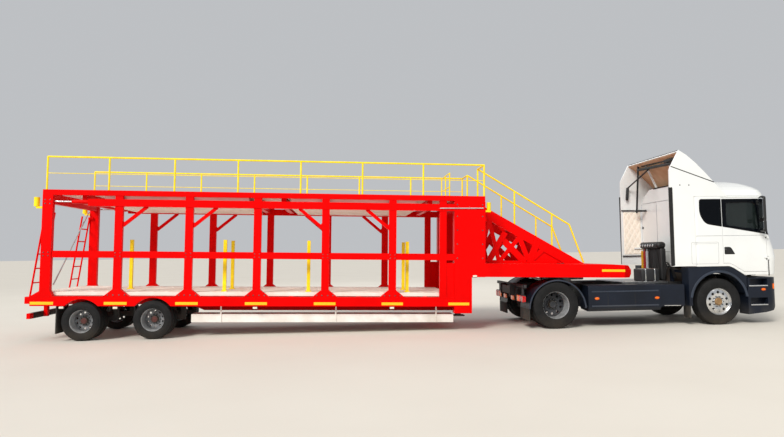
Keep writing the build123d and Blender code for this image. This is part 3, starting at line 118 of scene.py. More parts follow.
# Sizes are in millimetres. patch: how wide the shade drifts; rough: the gloss at its smoothest and dullest;
# grain: the surface's own texture, its size and depth; dust: colour, how much lies on top, how high road
# dirt reaches in metres; wear: colour, width and share of rubbed edges; shader: values that are the same
# all over.
finishLooks = {
    # two-pack gloss enamel sprayed on welded steel: deep red, faint orange peel, dust on what faces up
    "redEnamel": {"base": "#E80101", "shade": "#DA0000", "patch": 900, "rough": (0.30, 0.40),
                  "grain": (3, 0.03), "dust": ("#B08068", 0.12, 0.3), "wear": ("#8A1A12", 4, 0.35),
                  "shader": {"Specular IOR Level": 0.06}},
    # cream floor enamel under years of dust: matt, patchy, scuffed to the steel at its edges
    "creamEnamel": {"base": "#F5EFE6", "shade": "#E6DCCF", "patch": 500, "rough": (0.5, 0.8),
                    "grain": (14, 0.3), "dust": ("#C4B49C", 0.30, 0.3), "wear": ("#A59A8A", 5, 0.5),
                    "shader": {"Specular IOR Level": 0.4}},
    # sulphur yellow enamel on the rails, posts and drums
    "yellowEnamel": {"base": "#FCE41E", "shade": "#F2D20E", "patch": 120, "rough": (0.3, 0.5),
                     "grain": (4, 0.08), "dust": ("#C0AE7E", 0.25, 0.3), "wear": ("#9A8432", 3, 0.4),
                     "shader": {"Specular IOR Level": 0.3}},
    # cab base coat under clear lacquer: bright white, mirror-smooth, faint road film low down
    "whiteLacquer": {"base": "#E6E8E7", "shade": "#DCDFDF", "patch": 1500, "rough": (0.16, 0.26),
                     "grain": (6, 0.02), "dust": ("#A9A195", 0.2, 1.5), "wear": ("#C9CCCB", 3, 0.2),
                     "shader": {"Coat Weight": 0.6, "Coat Roughness": 0.06}},
    # satin navy lacquer on glass-fibre skirts, bumper and arches
    "navyLacquer": {"base": "#151C29", "shade": "#0F1520", "patch": 700, "rough": (0.30, 0.44),
                    "grain": (5, 0.04), "dust": ("#5E5A54", 0.2, 0.4), "wear": ("#414854", 3, 0.4),
                    "shader": {"Coat Weight": 0.1, "Coat Roughness": 0.2, "Specular IOR Level": 0.2}},
    # painted highlight: the navy lacquer made lighter on the arch lips and ribs, standing in for the light they
    # catch where they bend
    "navyLipHighlight": {"base": "#2C3544", "shade": "#242C39", "patch": 500, "rough": (0.26, 0.38),
                     "grain": (5, 0.04), "dust": ("#7E7870", 0.2, 0.5), "wear": ("#7C8594", 3, 0.4),
                     "shader": {"Coat Weight": 0.15, "Coat Roughness": 0.2, "Specular IOR Level": 0.35}},
    # stove-enamelled steel wheel, graphite grey under brake dust
    "graphiteEnamel": {"base": "#33373E", "shade": "#25282D", "patch": 150, "rough": (0.4, 0.55),
                       "grain": (4, 0.08), "dust": ("#5E574E", 0.3, 0.5), "wear": ("#6A6E74", 3, 0.4),
                       "shader": {"Metallic": 0.3}},
    # silver paint on the trailer's wheel discs, dulled to a mid grey by brake dust
    "dullSilver": {"base": "#85888C", "shade": "#66696D", "patch": 150, "rough": (0.4, 0.55),
                   "grain": (4, 0.08), "dust": ("#5E574E", 0.4, 0.5), "wear": ("#8A8E94", 3, 0.4),
                   "shader": {"Metallic": 0.4}},
    # hub caps under maroon primer
    "maroonPrimer": {"base": "#5A1C14", "shade": "#45150F", "patch": 60, "rough": (0.5, 0.7),
                     "grain": (4, 0.1), "dust": ("#5E574E", 0.3, 0.4), "wear": ("#7A3A2C", 2, 0.4),
                     "shader": {}},
    # painted reflection: a warm tan sheet under the deflector, standing in for light bounced from the ground
    # into its shaded underside
    "groundReflectionTan": {"base": "#D8B795", "shade": "#C39C78", "patch": 380, "rough": (0.55, 0.75),
                    "grain": (7, 0.2), "dust": ("#A8977E", 0.1, 0.1), "wear": ("#B08E6C", 3, 0.2),
                    "shader": {"Specular IOR Level": 0.3}},
    # chassis black enamel, satin and filmed with road dirt
    "chassisEnamel": {"base": "#26282B", "shade": "#1B1C1F", "patch": 400, "rough": (0.45, 0.65),
                      "grain": (8, 0.15), "dust": ("#6F675C", 0.6, 0.9), "wear": ("#5C544B", 4, 0.5),
                      "shader": {}},
    # moulded polypropylene with a fine leather grain
    "blackPlastic": {"base": "#17181A", "shade": "#101113", "patch": 200, "rough": (0.45, 0.6),
                     "grain": (1.6, 0.25), "dust": ("#6F6A62", 0.25, 0.8), "wear": ("#3B3C3E", 2, 0.3),
                     "shader": {}},
    # carbon-black rubber sheet, dull, greyed by ozone
    "blackRubber": {"base": "#1A1A1B", "shade": "#232323", "patch": 90, "rough": (0.7, 0.9),
                    "grain": (2.5, 0.3), "dust": ("#6B6359", 0.4, 0.7), "wear": ("#37373A", 3, 0.3),
                    "shader": {"Specular IOR Level": 0.3}},
    # vulcanised tyre rubber: near black, brown road dust in the grooves and low down
    "tyreRubber": {"base": "#101112", "shade": "#19191A", "patch": 160, "rough": (0.62, 0.85),
                   "grain": (3, 0.25), "dust": ("#4A433A", 0.2, 0.25), "wear": ("#2E2C2A", 3, 0.3),
                   "shader": {"Specular IOR Level": 0.25}},
    # forged aluminium wheel, machine polished: bright, with hair-fine turning marks
    "polishedAluminium": {"base": "#E2E3E4", "shade": "#CFD1D3", "patch": 150, "rough": (0.1, 0.24),
                          "grain": (2, 0.04), "dust": ("#8C857B", 0.2, 0.5), "wear": ("#F2F2F2", 2, 0.3),
                          "shader": {"Metallic": 1.0}},
    # rolled and machined steel, lightly greased
    "greasedSteel": {"base": "#77797B", "shade": "#4C4B49", "patch": 120, "rough": (0.32, 0.6),
                     "grain": (5, 0.12), "dust": ("#4A4036", 0.4, 0.5), "wear": ("#A9ABAD", 4, 0.5),
                     "shader": {"Metallic": 1.0}},
    # zinc-plated rod, pale and bright
    "brightSteel": {"base": "#D4D6D8", "shade": "#B4B6B8", "patch": 120, "rough": (0.25, 0.4),
                    "grain": (4, 0.05), "dust": ("#8C857B", 0.2, 0.3), "wear": ("#E4E4E4", 2, 0.3),
                    "shader": {"Metallic": 0.6}},
    # sand-cast iron, dark and pitted, brown with surface rust
    "castIron": {"base": "#343230", "shade": "#4A3A2E", "patch": 130, "rough": (0.7, 0.9),
                 "grain": (6, 0.6), "dust": ("#5F564B", 0.5, 0.6), "wear": ("#5A4B40", 5, 0.5),
                 "shader": {}},
    # rolled aluminium five-bar plate, bright on its raised bars
    "treadPlate": {"base": "#C4C6C8", "shade": "#A7A9AB", "patch": 220, "rough": (0.25, 0.42),
                   "grain": (3, 0.08), "dust": ("#8C8375", 0.35, 0.6), "wear": ("#E2E2E2", 3, 0.4),
                   "bars": (34, 1.6), "shader": {"Metallic": 1.0}},
    # dashboard and trim mouldings, soft-touch warm grey
    "cabTrim": {"base": "#56524D", "shade": "#47443F", "patch": 250, "rough": (0.55, 0.7),
                "grain": (2, 0.3), "dust": ("#8A8378", 0.1, 0.1), "wear": ("#6A665F", 2, 0.2),
                "shader": {}},
    # body sealant in the shut lines, grey and matt; on the pressed creases the same grey is painted shade,
    # standing in for the shadow in the crease
    "sealantAndCreaseShade": {"base": "#A9ACAE", "shade": "#8F9294", "patch": 200, "rough": (0.5, 0.7),
                    "grain": (3, 0.1), "dust": ("#8A8378", 0.3, 0.6), "wear": ("#8A8C8E", 2, 0.2),
                    "shader": {}},
    # off-white enamel on the folded ramps, chalked and scuffed
    "rampEnamel": {"base": "#F6F4EF", "shade": "#E6E2DA", "patch": 400, "rough": (0.4, 0.65),
                   "grain": (6, 0.15), "dust": ("#9A9080", 0.5, 0.5), "wear": ("#8A8478", 4, 0.5),
                   "shader": {}},
    # chrome-plated trim
    "chromeTrim": {"base": "#E8E9EA", "shade": "#DCDDDF", "patch": 100, "rough": (0.06, 0.14),
                   "grain": (4, 0.01), "dust": ("#8C857B", 0.15, 0.6), "wear": ("#F4F4F4", 1, 0.2),
                   "shader": {"Metallic": 1.0}},
}


def newMaterial(name, shared):
    # a material with one shader, whose shared values are typed in
    material = bpy.data.materials.new(name)
    material.use_nodes = True
    shader = material.node_tree.nodes["Principled BSDF"]
    for socket, value in shared.items():
        shader.inputs[socket].default_value = value
    return material, material.node_tree, shader.inputs


def noise(tree, place, scale, detail, rough=0.5):
    # a cloudy value about a half, finer with its scale
    values = {"Scale": scale, "Detail": detail, "Roughness": rough}
    return addNode(tree, "ShaderNodeTexNoise", values=values, links={"Vector": place}).outputs[0]


def ranged(tree, value, low, high, toLow=0.0, toHigh=1.0):
    # what lies from low to high is spread evenly from toLow to toHigh, and the rest is held at those two
    values = {"From Min": low, "From Max": high, "To Min": toLow, "To Max": toHigh}
    return addNode(tree, "ShaderNodeMapRange", values=values, links={"Value": value}).outputs[0]


def paired(tree, kind, first, second):
    # two values joined by one operation
    return addNode(tree, "ShaderNodeMath", {"operation": kind}, (), {0: first, 1: second}).outputs[0]


def mixed(tree, share, first, second):
    # first fades into second by the share; each is a typed colour or what feeds it
    sockets = {6: first, 7: second}
    typed = {key: item for key, item in sockets.items() if isinstance(item, tuple)}
    fed = {key: item for key, item in sockets.items() if key not in typed}
    return addNode(tree, "ShaderNodeMix", {"data_type": "RGBA"}, typed, {0: share, **fed}).outputs[2]


def raised(tree, strength, depth, height, below=None):
    # relief of a depth in metres, on top of the relief below it
    values = {"Strength": strength, "Distance": depth}
    links = {"Height": height} if below is None else {"Height": height, "Normal": below}
    return addNode(tree, "ShaderNodeBump", values=values, links=links).outputs[0]


# what every finish shares: scale, detail and roughness of its clouds, and the parts of their range that show
weather = {"drift": (5, 0.6), "driftRange": (0.35, 0.65), "scuff": (28, 6, 0.7), "chips": (0.45, 0.62),
           "edge": (0.96, 0.82), "cloud": (2.6, 7, 0.65), "cloudRange": (0.3, 0.7), "upward": (0.55, 1.0),
           "filmFoot": 0.05, "filmFade": 0.1, "filmShare": 0.6, "glossRange": (0.3, 0.7), "dustDulls": 0.5,
           "grainDetail": 3, "grainStrength": 0.5, "barStrength": 0.6}


def makeFinish(name, look):
    # shade drifts between two colours, rubbed edges and dust are laid over it, one noise drives the gloss,
    # and a finer one the relief; everything reads the object's own coordinates
    material, tree, shader = newMaterial(name, look["shader"])
    place = addNode(tree, "ShaderNodeTexCoord").outputs["Object"]
    surface = addNode(tree, "ShaderNodeNewGeometry").outputs
    tone = ranged(tree, noise(tree, place, 1000 / look["patch"], *weather["drift"]), *weather["driftRange"])
    colour = mixed(tree, tone, linear(look["base"]), linear(look["shade"]))
    # edges: where the rounded normal leaves the true one
    wearColour, wearWidth, wearShare = look["wear"]
    rounded = addNode(tree, "ShaderNodeBevel", {"samples": 4}, {"Radius": wearWidth / 1000}).outputs[0]
    bend = addNode(tree, "ShaderNodeVectorMath", {"operation": "DOT_PRODUCT"}, (),
                   {0: rounded, 1: surface["True Normal"]}).outputs["Value"]
    edge = ranged(tree, bend, *weather["edge"], 0.0, wearShare)
    scuff = noise(tree, place, *weather["scuff"])
    rubbed = paired(tree, "MULTIPLY", edge, ranged(tree, scuff, *weather["chips"]))
    worn = mixed(tree, rubbed, colour, linear(wearColour))
    # dust: on faces that look up, and a road film that thins out with height
    dustColour, dustShare, dirtHeight = look["dust"]
    facing = addNode(tree, "ShaderNodeSeparateXYZ", links={0: surface["Normal"]}).outputs["Z"]
    height = addNode(tree, "ShaderNodeSeparateXYZ", links={0: place}).outputs["Z"]
    upward = ranged(tree, facing, *weather["upward"], 0.0, dustShare)
    filmTop = dirtHeight + weather["filmFade"]
    low = ranged(tree, height, filmTop, weather["filmFoot"], 0.0, weather["filmShare"])
    patchy = ranged(tree, noise(tree, place, *weather["cloud"]), *weather["cloudRange"])
    dusty = paired(tree, "MULTIPLY", paired(tree, "MAXIMUM", upward, low), patchy)
    tree.links.new(mixed(tree, dusty, worn, linear(dustColour)), shader["Base Color"])
    # gloss: the scuffs and the dust both dull it
    gloss = ranged(tree, scuff, *weather["glossRange"], *look["rough"])
    matt = addNode(tree, "ShaderNodeMath", {"operation": "MULTIPLY_ADD", "use_clamp": True},
                   {1: weather["dustDulls"]}, {0: dusty, 2: gloss}).outputs[0]
    tree.links.new(matt, shader["Roughness"])
    grainSize, grainDepth = look["grain"]
    grain = noise(tree, place, 1000 / grainSize, weather["grainDetail"])
    relief = raised(tree, weather["grainStrength"], grainDepth / 1000, grain, rounded)
    if "bars" in look:
        # raised bars: a brick pattern of the plate's real pitch, turned by an eighth of a circle
        pitch, rise = look["bars"]
        turn = {"Rotation": (0, 0, math.pi / 4)}
        turned = addNode(tree, "ShaderNodeMapping", values=turn, links={"Vector": place}).outputs[0]
        bricks = {"Scale": 1000 / pitch, "Mortar Size": 0.2, "Mortar Smooth": 0.3, "Brick Width": 1.0,
                  "Row Height": 0.5, "Color1": (1, 1, 1, 1), "Color2": (1, 1, 1, 1), "Mortar": (0, 0, 0, 1)}
        bars = addNode(tree, "ShaderNodeTexBrick", {"offset": 0.5}, bricks, {"Vector": turned})
        relief = raised(tree, weather["barStrength"], rise / 1000, bars.outputs["Color"], relief)
    tree.links.new(relief, shader["Normal"])
    return material


finishes = {name: makeFinish(name, look) for name, look in finishLooks.items()}


def makeClear(name, tint, shared, streak):
    # glass and lenses: a tint that drifts a little, faint wiped streaks in the gloss
    material, tree, shader = newMaterial(name, shared)
    place = addNode(tree, "ShaderNodeTexCoord").outputs["Object"]
    colour = mixed(tree, noise(tree, place, 1.5, 3), linear(tint[0]), linear(tint[1]))
    tree.links.new(colour, shader["Base Color"])
    wiped = addNode(tree, "ShaderNodeMapping", values={"Scale": (4, 4, 30)}, links={"Vector": place})
    tree.links.new(ranged(tree, noise(tree, wiped.outputs[0], 3, 5), 0.4, 0.75, *streak), shader["Roughness"])
    return material


# each: two tints, values that are the same all over, and the gloss at its smoothest and dullest
clearLooks = {
    # toughened side glass, dark green tint: shows the cab's inside only faintly
    "tintedGlass": (("#4E5A58", "#5A6664"), {"Transmission Weight": 0.92, "IOR": 1.45}, (0.0, 0.06)),
    # toughened glass with a fired black ceramic behind it: opaque, deep, mirror-smooth
    "blackGlass": (("#04060A", "#070A10"), {"IOR": 1.52, "Specular IOR Level": 0.1}, (0.10, 0.22)),
    # silvered mirror glass
    "mirrorGlass": (("#D4D8DC", "#C8CCD2"), {"Metallic": 1.0}, (0.01, 0.05)),
    # moulded acrylic lenses, clear, amber and red
    "clearLens": (("#F4F6F8", "#E8ECEE"), {"Transmission Weight": 0.85, "IOR": 1.49}, (0.02, 0.1)),
    "amberLens": (("#FF7A08", "#F06404"), {"Transmission Weight": 0.25, "IOR": 1.49,
                  "Emission Color": linear("#FF6A00"), "Emission Strength": 0.15}, (0.08, 0.2)),
    "redLens": (("#D80C10", "#B0060A"), {"Transmission Weight": 0.2, "IOR": 1.49,
                "Emission Color": linear("#FF0808"), "Emission Strength": 0.12}, (0.08, 0.2)),
    # marker lenses of milky acrylic
    "paleLens": (("#F2EDE0", "#E4DCC8"), {"Transmission Weight": 0.2, "IOR": 1.49,
                 "Emission Color": linear("#FFF6E0"), "Emission Strength": 0.1}, (0.1, 0.25)),
    # retro-reflective tape, yellow: bright and slightly sparkling, with a faint painted glow from its emission
    "yellowTapePaintedGlow": (("#F8C812", "#EAAE08"), {"Emission Color": linear("#F6C81C"), "Emission Strength": 0.05},
                   (0.25, 0.4)),
}
finishes.update({name: makeClear(name, *look) for name, look in clearLooks.items()})


def makeFabric(name, colours, thread):
    # woven seat cloth: two crossed waves at the thread spacing, drawn at three times the real one so it
    # shows
    material, tree, shader = newMaterial(name, {"Sheen Weight": 0.4, "Roughness": 0.9})
    place = addNode(tree, "ShaderNodeTexCoord").outputs["Object"]
    waves = {"Scale": 1000 / thread / 6.283, "Distortion": 0.4}
    warp, weft = [addNode(tree, "ShaderNodeTexWave", {"bands_direction": axis}, waves, {"Vector": place})
                  for axis in ("Y", "DIAGONAL")]
    cloth = paired(tree, "MULTIPLY", warp.outputs["Fac"], weft.outputs["Fac"])
    tree.links.new(mixed(tree, cloth, linear(colours[0]), linear(colours[1])), shader["Base Color"])
    tree.links.new(raised(tree, 0.6, 0.0006, cloth), shader["Normal"])
    return material


finishes["seatCloth"] = makeFabric("seatCloth", ("#1E2024", "#3A3D44"), 9)
finishes["quiltedLiner"] = makeFabric("quiltedLiner", ("#F4ECDF", "#E2D3C0"), 7)
print("finishes made:", len(finishes))


# forms: each gives its points and its faces
def gridForm(points, closeAlong=False, closeAround=False, caps=False):
    # a grid of points, rows by columns, joined to its neighbours by four-sided faces; caps close its first
    # and last row
    rows, columns = points.shape[:2]
    index = np.arange(rows * columns).reshape(rows, columns)
    first, last = index[0].tolist(), index[-1].tolist()
    if closeAlong:
        index = np.vstack([index, index[:1]])
    if closeAround:
        index = np.hstack([index, index[:, :1]])
    faces = np.stack([index[:-1, :-1], index[:-1, 1:], index[1:, 1:], index[1:, :-1]], -1)
    faces = faces.reshape(-1, 4).tolist()
    if caps:
        faces += [first[::-1], last]
    return points.reshape(-1, 3), faces


def bent(wave, power):
    # the wave's size to a power, with its sign kept
    return np.sign(wave) * np.abs(wave) ** power


def turned(profile, centre, count=48):
    # a turned form about a line across the lorry: radius and y of the profile, swung round the centre's x
    # and z
    radius, y = np.asarray(profile, float).T
    angle = np.linspace(0, 2 * np.pi, count, endpoint=False)[:, None]
    x = centre[0] + radius * np.sin(angle)
    z = centre[1] + radius * np.cos(angle)
    return gridForm(np.stack([x, np.broadcast_to(y, x.shape), z], -1), closeAlong=True)


def tube(path, radius, around=12, roundEnds=True):
    # a circle carried along a path, square to it, with half-round ends: offsets by the sine and radii by
    # the cosine
    path = np.asarray(path, float)
    along = np.gradient(path, axis=0)
    along /= np.linalg.norm(along, axis=1)[:, None]
    radii = np.full(len(path), float(radius))
    if roundEnds:
        swell = np.radians([80, 55, 28])
        head = path[0] - along[0] * (radius * np.sin(swell))[:, None]
        tail = path[-1] + along[-1] * (radius * np.sin(swell[::-1]))[:, None]
        path = np.vstack([head, path, tail])
        along = np.vstack([along[:1]] * 3 + [along] + [along[-1:]] * 3)
        radii = np.concatenate([radius * np.cos(swell), radii, radius * np.cos(swell[::-1])])
    helper = np.array([0, 0, 1.0]) if abs(along[0, 2]) < 0.9 else np.array([1.0, 0, 0])
    side = np.cross(along, helper)
    side /= np.linalg.norm(side, axis=1)[:, None]
    top = np.cross(side, along)
    angle = np.linspace(0, 2 * np.pi, around, endpoint=False)
    ring = side[:, None] * np.cos(angle)[:, None] + top[:, None] * np.sin(angle)[:, None]
    return gridForm(path[:, None] + ring * radii[:, None, None], closeAround=True, caps=True)


def block(low, high, radius=0.006, up=2, steps=3):
    # a box with round edges: a rounded rectangle, drawn in by the roundover's sine as it rises along the up
    # axis
    low, high = np.minimum(low, high), np.maximum(low, high)
    flat = [n for n in range(3) if n != up]
    radius = min(radius, (high - low).min() * 0.49)
    quarter = np.linspace(0, np.pi / 2, steps + 1)
    corner = np.concatenate([quarter + n * np.pi / 2 for n in range(4)])
    diagonal = corner.reshape(4, -1).mean(1)
    signX, signY = np.sign(np.cos(diagonal)), np.sign(np.sin(diagonal))
    centre = (low + high) / 2
    half = (high - low) / 2
    reachX = np.repeat(signX, steps + 1) * (half[flat[0]] - radius)
    reachY = np.repeat(signY, steps + 1) * (half[flat[1]] - radius)
    size = radius * np.concatenate([np.sin(quarter), np.cos(quarter)])[:, None]
    rise = np.concatenate([-half[up] + radius - radius * np.cos(quarter),
                           half[up] - radius + radius * np.sin(quarter)])
    points = np.zeros((len(size), len(corner), 3))
    points[..., flat[0]] = centre[flat[0]] + reachX + size * np.cos(corner)
    points[..., flat[1]] = centre[flat[1]] + reachY + size * np.sin(corner)
    points[..., up] = (centre[up] + rise)[:, None]
    return gridForm(points, closeAround=True, caps=True)


def plate(outline, across, near, far, edge=0.0):
    # a flat plate: an outline in the two axes that aren't across, from near to far, its rims drawn in by
    # the edge
    outline = np.asarray(outline, float)
    ahead, behind = np.roll(outline, -1, 0) - outline, outline - np.roll(outline, 1, 0)
    following = np.roll(outline, -1, 0)
    turn = np.sign(np.sum(outline[:, 0] * following[:, 1] - following[:, 0] * outline[:, 1]))
    normals = [np.stack([-d[:, 1], d[:, 0]], -1) / np.linalg.norm(d, axis=1)[:, None] * turn
               for d in (ahead, behind)]
    inward = normals[0] + normals[1]
    inward /= np.maximum(np.sum(inward * normals[0], 1), 0.3)[:, None]
    flat = [n for n in range(3) if n != across]
    step = math.copysign(edge, far - near)
    layers = [(edge, near), (0, near + step), (0, far - step), (edge, far)] if edge else [(0, near), (0, far)]
    points = np.zeros((len(layers), len(outline), 3))
    for row, (drawn, depth) in enumerate(layers):
        points[row][:, flat] = outline + inward * drawn
        points[row][:, across] = depth
    return gridForm(points, closeAround=True, caps=True)


def bolts(places, direction, radius, height, sides=6):
    # hexagon heads: three rings each, a skirt, a chamfer and a flat top, set along one direction
    direction = np.asarray(direction, float) / np.linalg.norm(direction)
    helper = np.array([0, 0, 1.0]) if abs(direction[2]) < 0.9 else np.array([1.0, 0, 0])
    side = np.cross(direction, helper)
    side /= np.linalg.norm(side)
    top = np.cross(side, direction)
    angle = np.linspace(0, 2 * np.pi, sides, endpoint=False)
    ring = np.cos(angle)[:, None] * side + np.sin(angle)[:, None] * top
    layers = np.array([[1.0, -0.2], [1.0, 0.8], [0.82, 1.0]])
    points = (ring[None] * layers[:, 0, None, None] * radius + direction * layers[:, 1, None, None] * height)
    return [gridForm(points + place, closeAround=True, caps=True) for place in np.asarray(places, float)]


def makePiece(name, parts, body, standsFor=(), sharp=32, openSheet=False):
    # joins the forms of each finish into one mesh at the origin, closes its seams and turns its faces
    # outwards
    points, faces, owners, names = [], [], [], list(parts)
    for order, finishName in enumerate(names):
        for formPoints, formFaces in parts[finishName]:
            start = sum(len(p) for p in points)
            points.append(formPoints)
            faces += [[start + corner for corner in face] for face in formFaces]
            owners += [order] * len(formFaces)
    mesh = bpy.data.meshes.new(name)
    mesh.from_pydata(np.vstack(points).tolist(), [], faces)
    mesh.polygons.foreach_set("material_index", np.array(owners, np.int32))
    work = bmesh.new()
    work.from_mesh(mesh)
    bmesh.ops.remove_doubles(work, verts=work.verts, dist=2e-5)
    bmesh.ops.dissolve_degenerate(work, dist=1e-6, edges=work.edges)
    if not openSheet:
        bmesh.ops.recalc_face_normals(work, faces=work.faces)
    work.to_mesh(mesh)
    work.free()
    mesh.shade_smooth()
    mesh.set_sharp_from_angle(angle=math.radians(sharp))
    for finishName in names:
        mesh.materials.append(finishes[finishName])
    piece = bpy.data.objects.new(name, mesh)
    bpy.context.scene.collection.objects.link(piece)
    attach(piece, body)
    if standsFor:
        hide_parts(*standsFor)
    return piece


def makePair(name, parts, body, standsFor=(), sharp=32):
    # the piece as drawn for the right side, and its mirror image for the left
    for side, flip in (("right", 1), ("left", -1)):
        flipped = {finish: [(points * [1, flip, 1], faces) for points, faces in group]
                   for finish, group in parts.items()}
        nodes = [item.format(side=side) for item in standsFor]
        makePiece(f"{name}_{side}", flipped, body.format(side=side), nodes, sharp)


def lorryBlock(low, high, radius=0.006, up=2, steps=3):
    # a block in drawing metres
    return block(onLorry(low), onLorry(high), radius, up, steps)


def lorryBar(start, end, count, radius, around):
    # a straight round bar in drawing metres, cut into count points
    return tube(onLorry(np.linspace(start, end, count)), radius, around)


def onFrame(forms):
    # forms in the level trailer's metres, set as the trailer stands
    return [(onTrailer(points), faces) for points, faces in forms]


# air lines: three curly lines that hang from the stand behind the cab
airLines = {"x": 7.400, "ys": (0.120, 0.240, 0.360), "top": 1.700, "foot": 1.215, "coilRadius": 0.0265,
            "line": 0.012, "pitch": 0.0155, "perTurn": 12, "colours": ("#B9BDC2", "#A81014", "#D9A40C"),
            "leadIn": 0.05, "straight": 0.025, "tail": 0.02, "curveShare": 0.985, "couplingFoot": 0.055,
            "coupling": ((0.0005, 0), (0.013, 0), (0.016, 0.004), (0.016, 0.022), (0.011, 0.026),
                         (0.009, 0.045), (0.0005, 0.047))}


def makeAirLines():
    # each line drops from its exit, winds down as a helix of the real line's coil and ends in its coupling:
    # x and y go round by cosine and sine, z falls evenly; the curve cuts the corners of its path
    look = airLines
    turns = (look["top"] - look["leadIn"] - look["foot"]) / look["pitch"]
    count = int(turns * look["perTurn"])
    for number, (y, colour) in enumerate(zip(look["ys"], look["colours"])):
        angle = np.arange(count) / look["perTurn"] * 2 * np.pi
        swell = np.minimum(1, np.minimum(np.arange(count), np.arange(count)[::-1]) / look["perTurn"])
        x = look["coilRadius"] * swell * np.cos(angle)
        across = look["coilRadius"] * swell * np.sin(angle)
        z = np.linspace(look["top"] - look["leadIn"], look["foot"], count)
        coil = np.stack([look["x"] + x, y + across, z], -1)
        head = np.array([[look["x"], y, look["top"]], [look["x"], y, look["top"] - look["straight"]]])
        tail = np.array([[look["x"], y, look["foot"] - look["tail"]]])
        path = onLorry(np.vstack([head, coil, tail]))
        curve = bpy.data.curves.new(f"air_line_{number}", "CURVE")
        curve.dimensions = "3D"
        spline = curve.splines.new("NURBS")
        spline.points.add(len(path) - 1)
        spline.points.foreach_set("co", np.hstack([path, np.ones((len(path), 1))]).ravel())
        spline.order_u = 3
        spline.use_endpoint_u = True
        curve.bevel_depth = look["line"] / 2
        curve.bevel_resolution = 2
        finishes[f"airHose{number}"] = makeFinish(f"airHose{number}", {
            # polyamide hose: smooth, slightly waxy
            "base": colour, "shade": colour, "patch": 60, "rough": (0.3, 0.45), "grain": (3, 0.05),
            "dust": ("#6B6359", 0.3, 0.4), "wear": (colour, 2, 0.1), "shader": {}})
        curve.materials.append(finishes[f"airHose{number}"])
        line = bpy.data.objects.new(f"air_line_{number}", curve)
        bpy.context.scene.collection.objects.link(line)
        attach(line, "tractor")
        radius, rise = np.array(look["coupling"]).T
        angle = np.linspace(0, 2 * np.pi, 20, endpoint=False)[:, None]
        height = np.broadcast_to(look["foot"] - look["couplingFoot"] + rise, (20, len(rise)))
        ring = np.stack([look["x"] + shiftX + radius * np.cos(angle), y + radius * np.sin(angle), height], -1)
        turnedRing = {"polishedAluminium": [gridForm(ring, closeAlong=True)]}
        coupling = makePiece(f"air_coupling_{number}", turnedRing, "tractor")
        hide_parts("air_lines")



makeAirLines()
print("air lines made")


# tyres
wheelPlaces = {"front": (8.329, 0.509), "drive": (4.629, 0.509), "trailer_rear": (-5.297, 0.396),
               "trailer_fore": (-3.882, 0.396)}
trailerTyre = {"ys": (-1.1255, -0.8665), "radius": 0.396, "width": 0.225, "bead": 0.2325, "grooves": 3,
               "lugs": 0.0}
tyreSizes = {
    "front": {"ys": (-1.0875,), "radius": 0.509, "width": 0.305, "bead": 0.2925, "grooves": 4, "lugs": 0.0},
    "drive": {"ys": (-1.0875, -0.7485), "radius": 0.509, "width": 0.305, "bead": 0.2925, "grooves": 3,
              "lugs": 0.010},
    "trailer_rear": trailerTyre, "trailer_fore": trailerTyre}


# Metres, but for shares of the wall (ringsAt) and of half the width (grooveSpan, outerRib, sipeRib).
# wallDrop: from tread to the wall's top; lugs and sipes: how many cuts by their sine's pitch, and the sine above
# which they cut; sipes: also how deep.
tyreShape = {"wallDrop": 0.035, "bulge": 0.026, "ring": 0.0016, "ringsAt": (0.16, 0.86),
             "shoulderRise": 0.0315, "shoulderIn": 0.034, "grooveSpan": 0.52,
             "notch": (-0.0062, -0.0055, 0.0055, 0.0062), "grooveDepths": (0.0, 0.012, 0.012, 0.0),
             "crown": 0.0025, "around": 132, "outerRib": (0.56, 0.03), "lugs": (44, 0.55),
             "sipeRib": (0.7, 0.02), "sipes": (66, 0.8, 0.003)}


def tyreForm(look, y, centre):
    # the wall swells from bead to shoulder as a smooth arch, carries fine raised rings and meets a crowned
    # tread whose grooves are square notches; evenly spaced lugs cut across the outer ribs of drive tyres, and
    # fine sipes across those of the others
    shape = tyreShape
    half, outer, bead = look["width"] / 2, look["radius"], look["bead"]
    share = np.linspace(0, 1, 15)
    wallR = bead + (outer - shape["wallDrop"] - bead) * share
    arch = np.sin(np.pi * np.clip(share * 0.78 + 0.08, 0, 1)) ** 0.8
    bulge = half - shape["bulge"] + shape["bulge"] * arch
    low, high = shape["ringsAt"]
    rings = shape["ring"] * ((np.abs(share - low) < 0.03) + (np.abs(share - high) < 0.03))
    wall = np.stack([wallR, bulge + rings], -1)
    angle = np.radians([12, 32, 52, 72, 90])
    shoulderR = outer - shape["wallDrop"] + shape["shoulderRise"] * np.sin(angle)
    shoulderY = half - shape["shoulderIn"]
    shoulder = np.stack([shoulderR, shoulderY + (bulge[-1] - shoulderY) * np.cos(angle)], -1)
    grooves = np.linspace(-1, 1, look["grooves"]) * half * shape["grooveSpan"]
    ys = np.concatenate([g + np.array(shape["notch"]) for g in grooves])
    crown = outer - shape["crown"] * (ys / half) ** 2
    tread = np.stack([crown - np.tile(shape["grooveDepths"], look["grooves"]), ys], -1)[::-1]
    right = np.vstack([wall, shoulder])
    profile = np.vstack([right, tread, (right * [1, -1])[::-1]])
    theta = np.linspace(0, 2 * np.pi, shape["around"], endpoint=False)[:, None]
    radius = np.broadcast_to(profile[:, 0], (shape["around"], len(profile))).copy()
    if look["lugs"]:
        (reach, drop), (count, width), depth = shape["outerRib"], shape["lugs"], look["lugs"]
    else:
        (reach, drop), (count, width, depth) = shape["sipeRib"], shape["sipes"]
    rib = (np.abs(profile[:, 1]) > half * reach) & (profile[:, 0] > outer - drop)
    radius -= depth * rib * (np.sin(theta * count) > width)
    points = np.stack([centre[0] + radius * np.sin(theta), np.broadcast_to(y + profile[:, 1], radius.shape),
                       centre[1] + radius * np.cos(theta)], -1)
    return gridForm(points, closeAlong=True, closeAround=True)


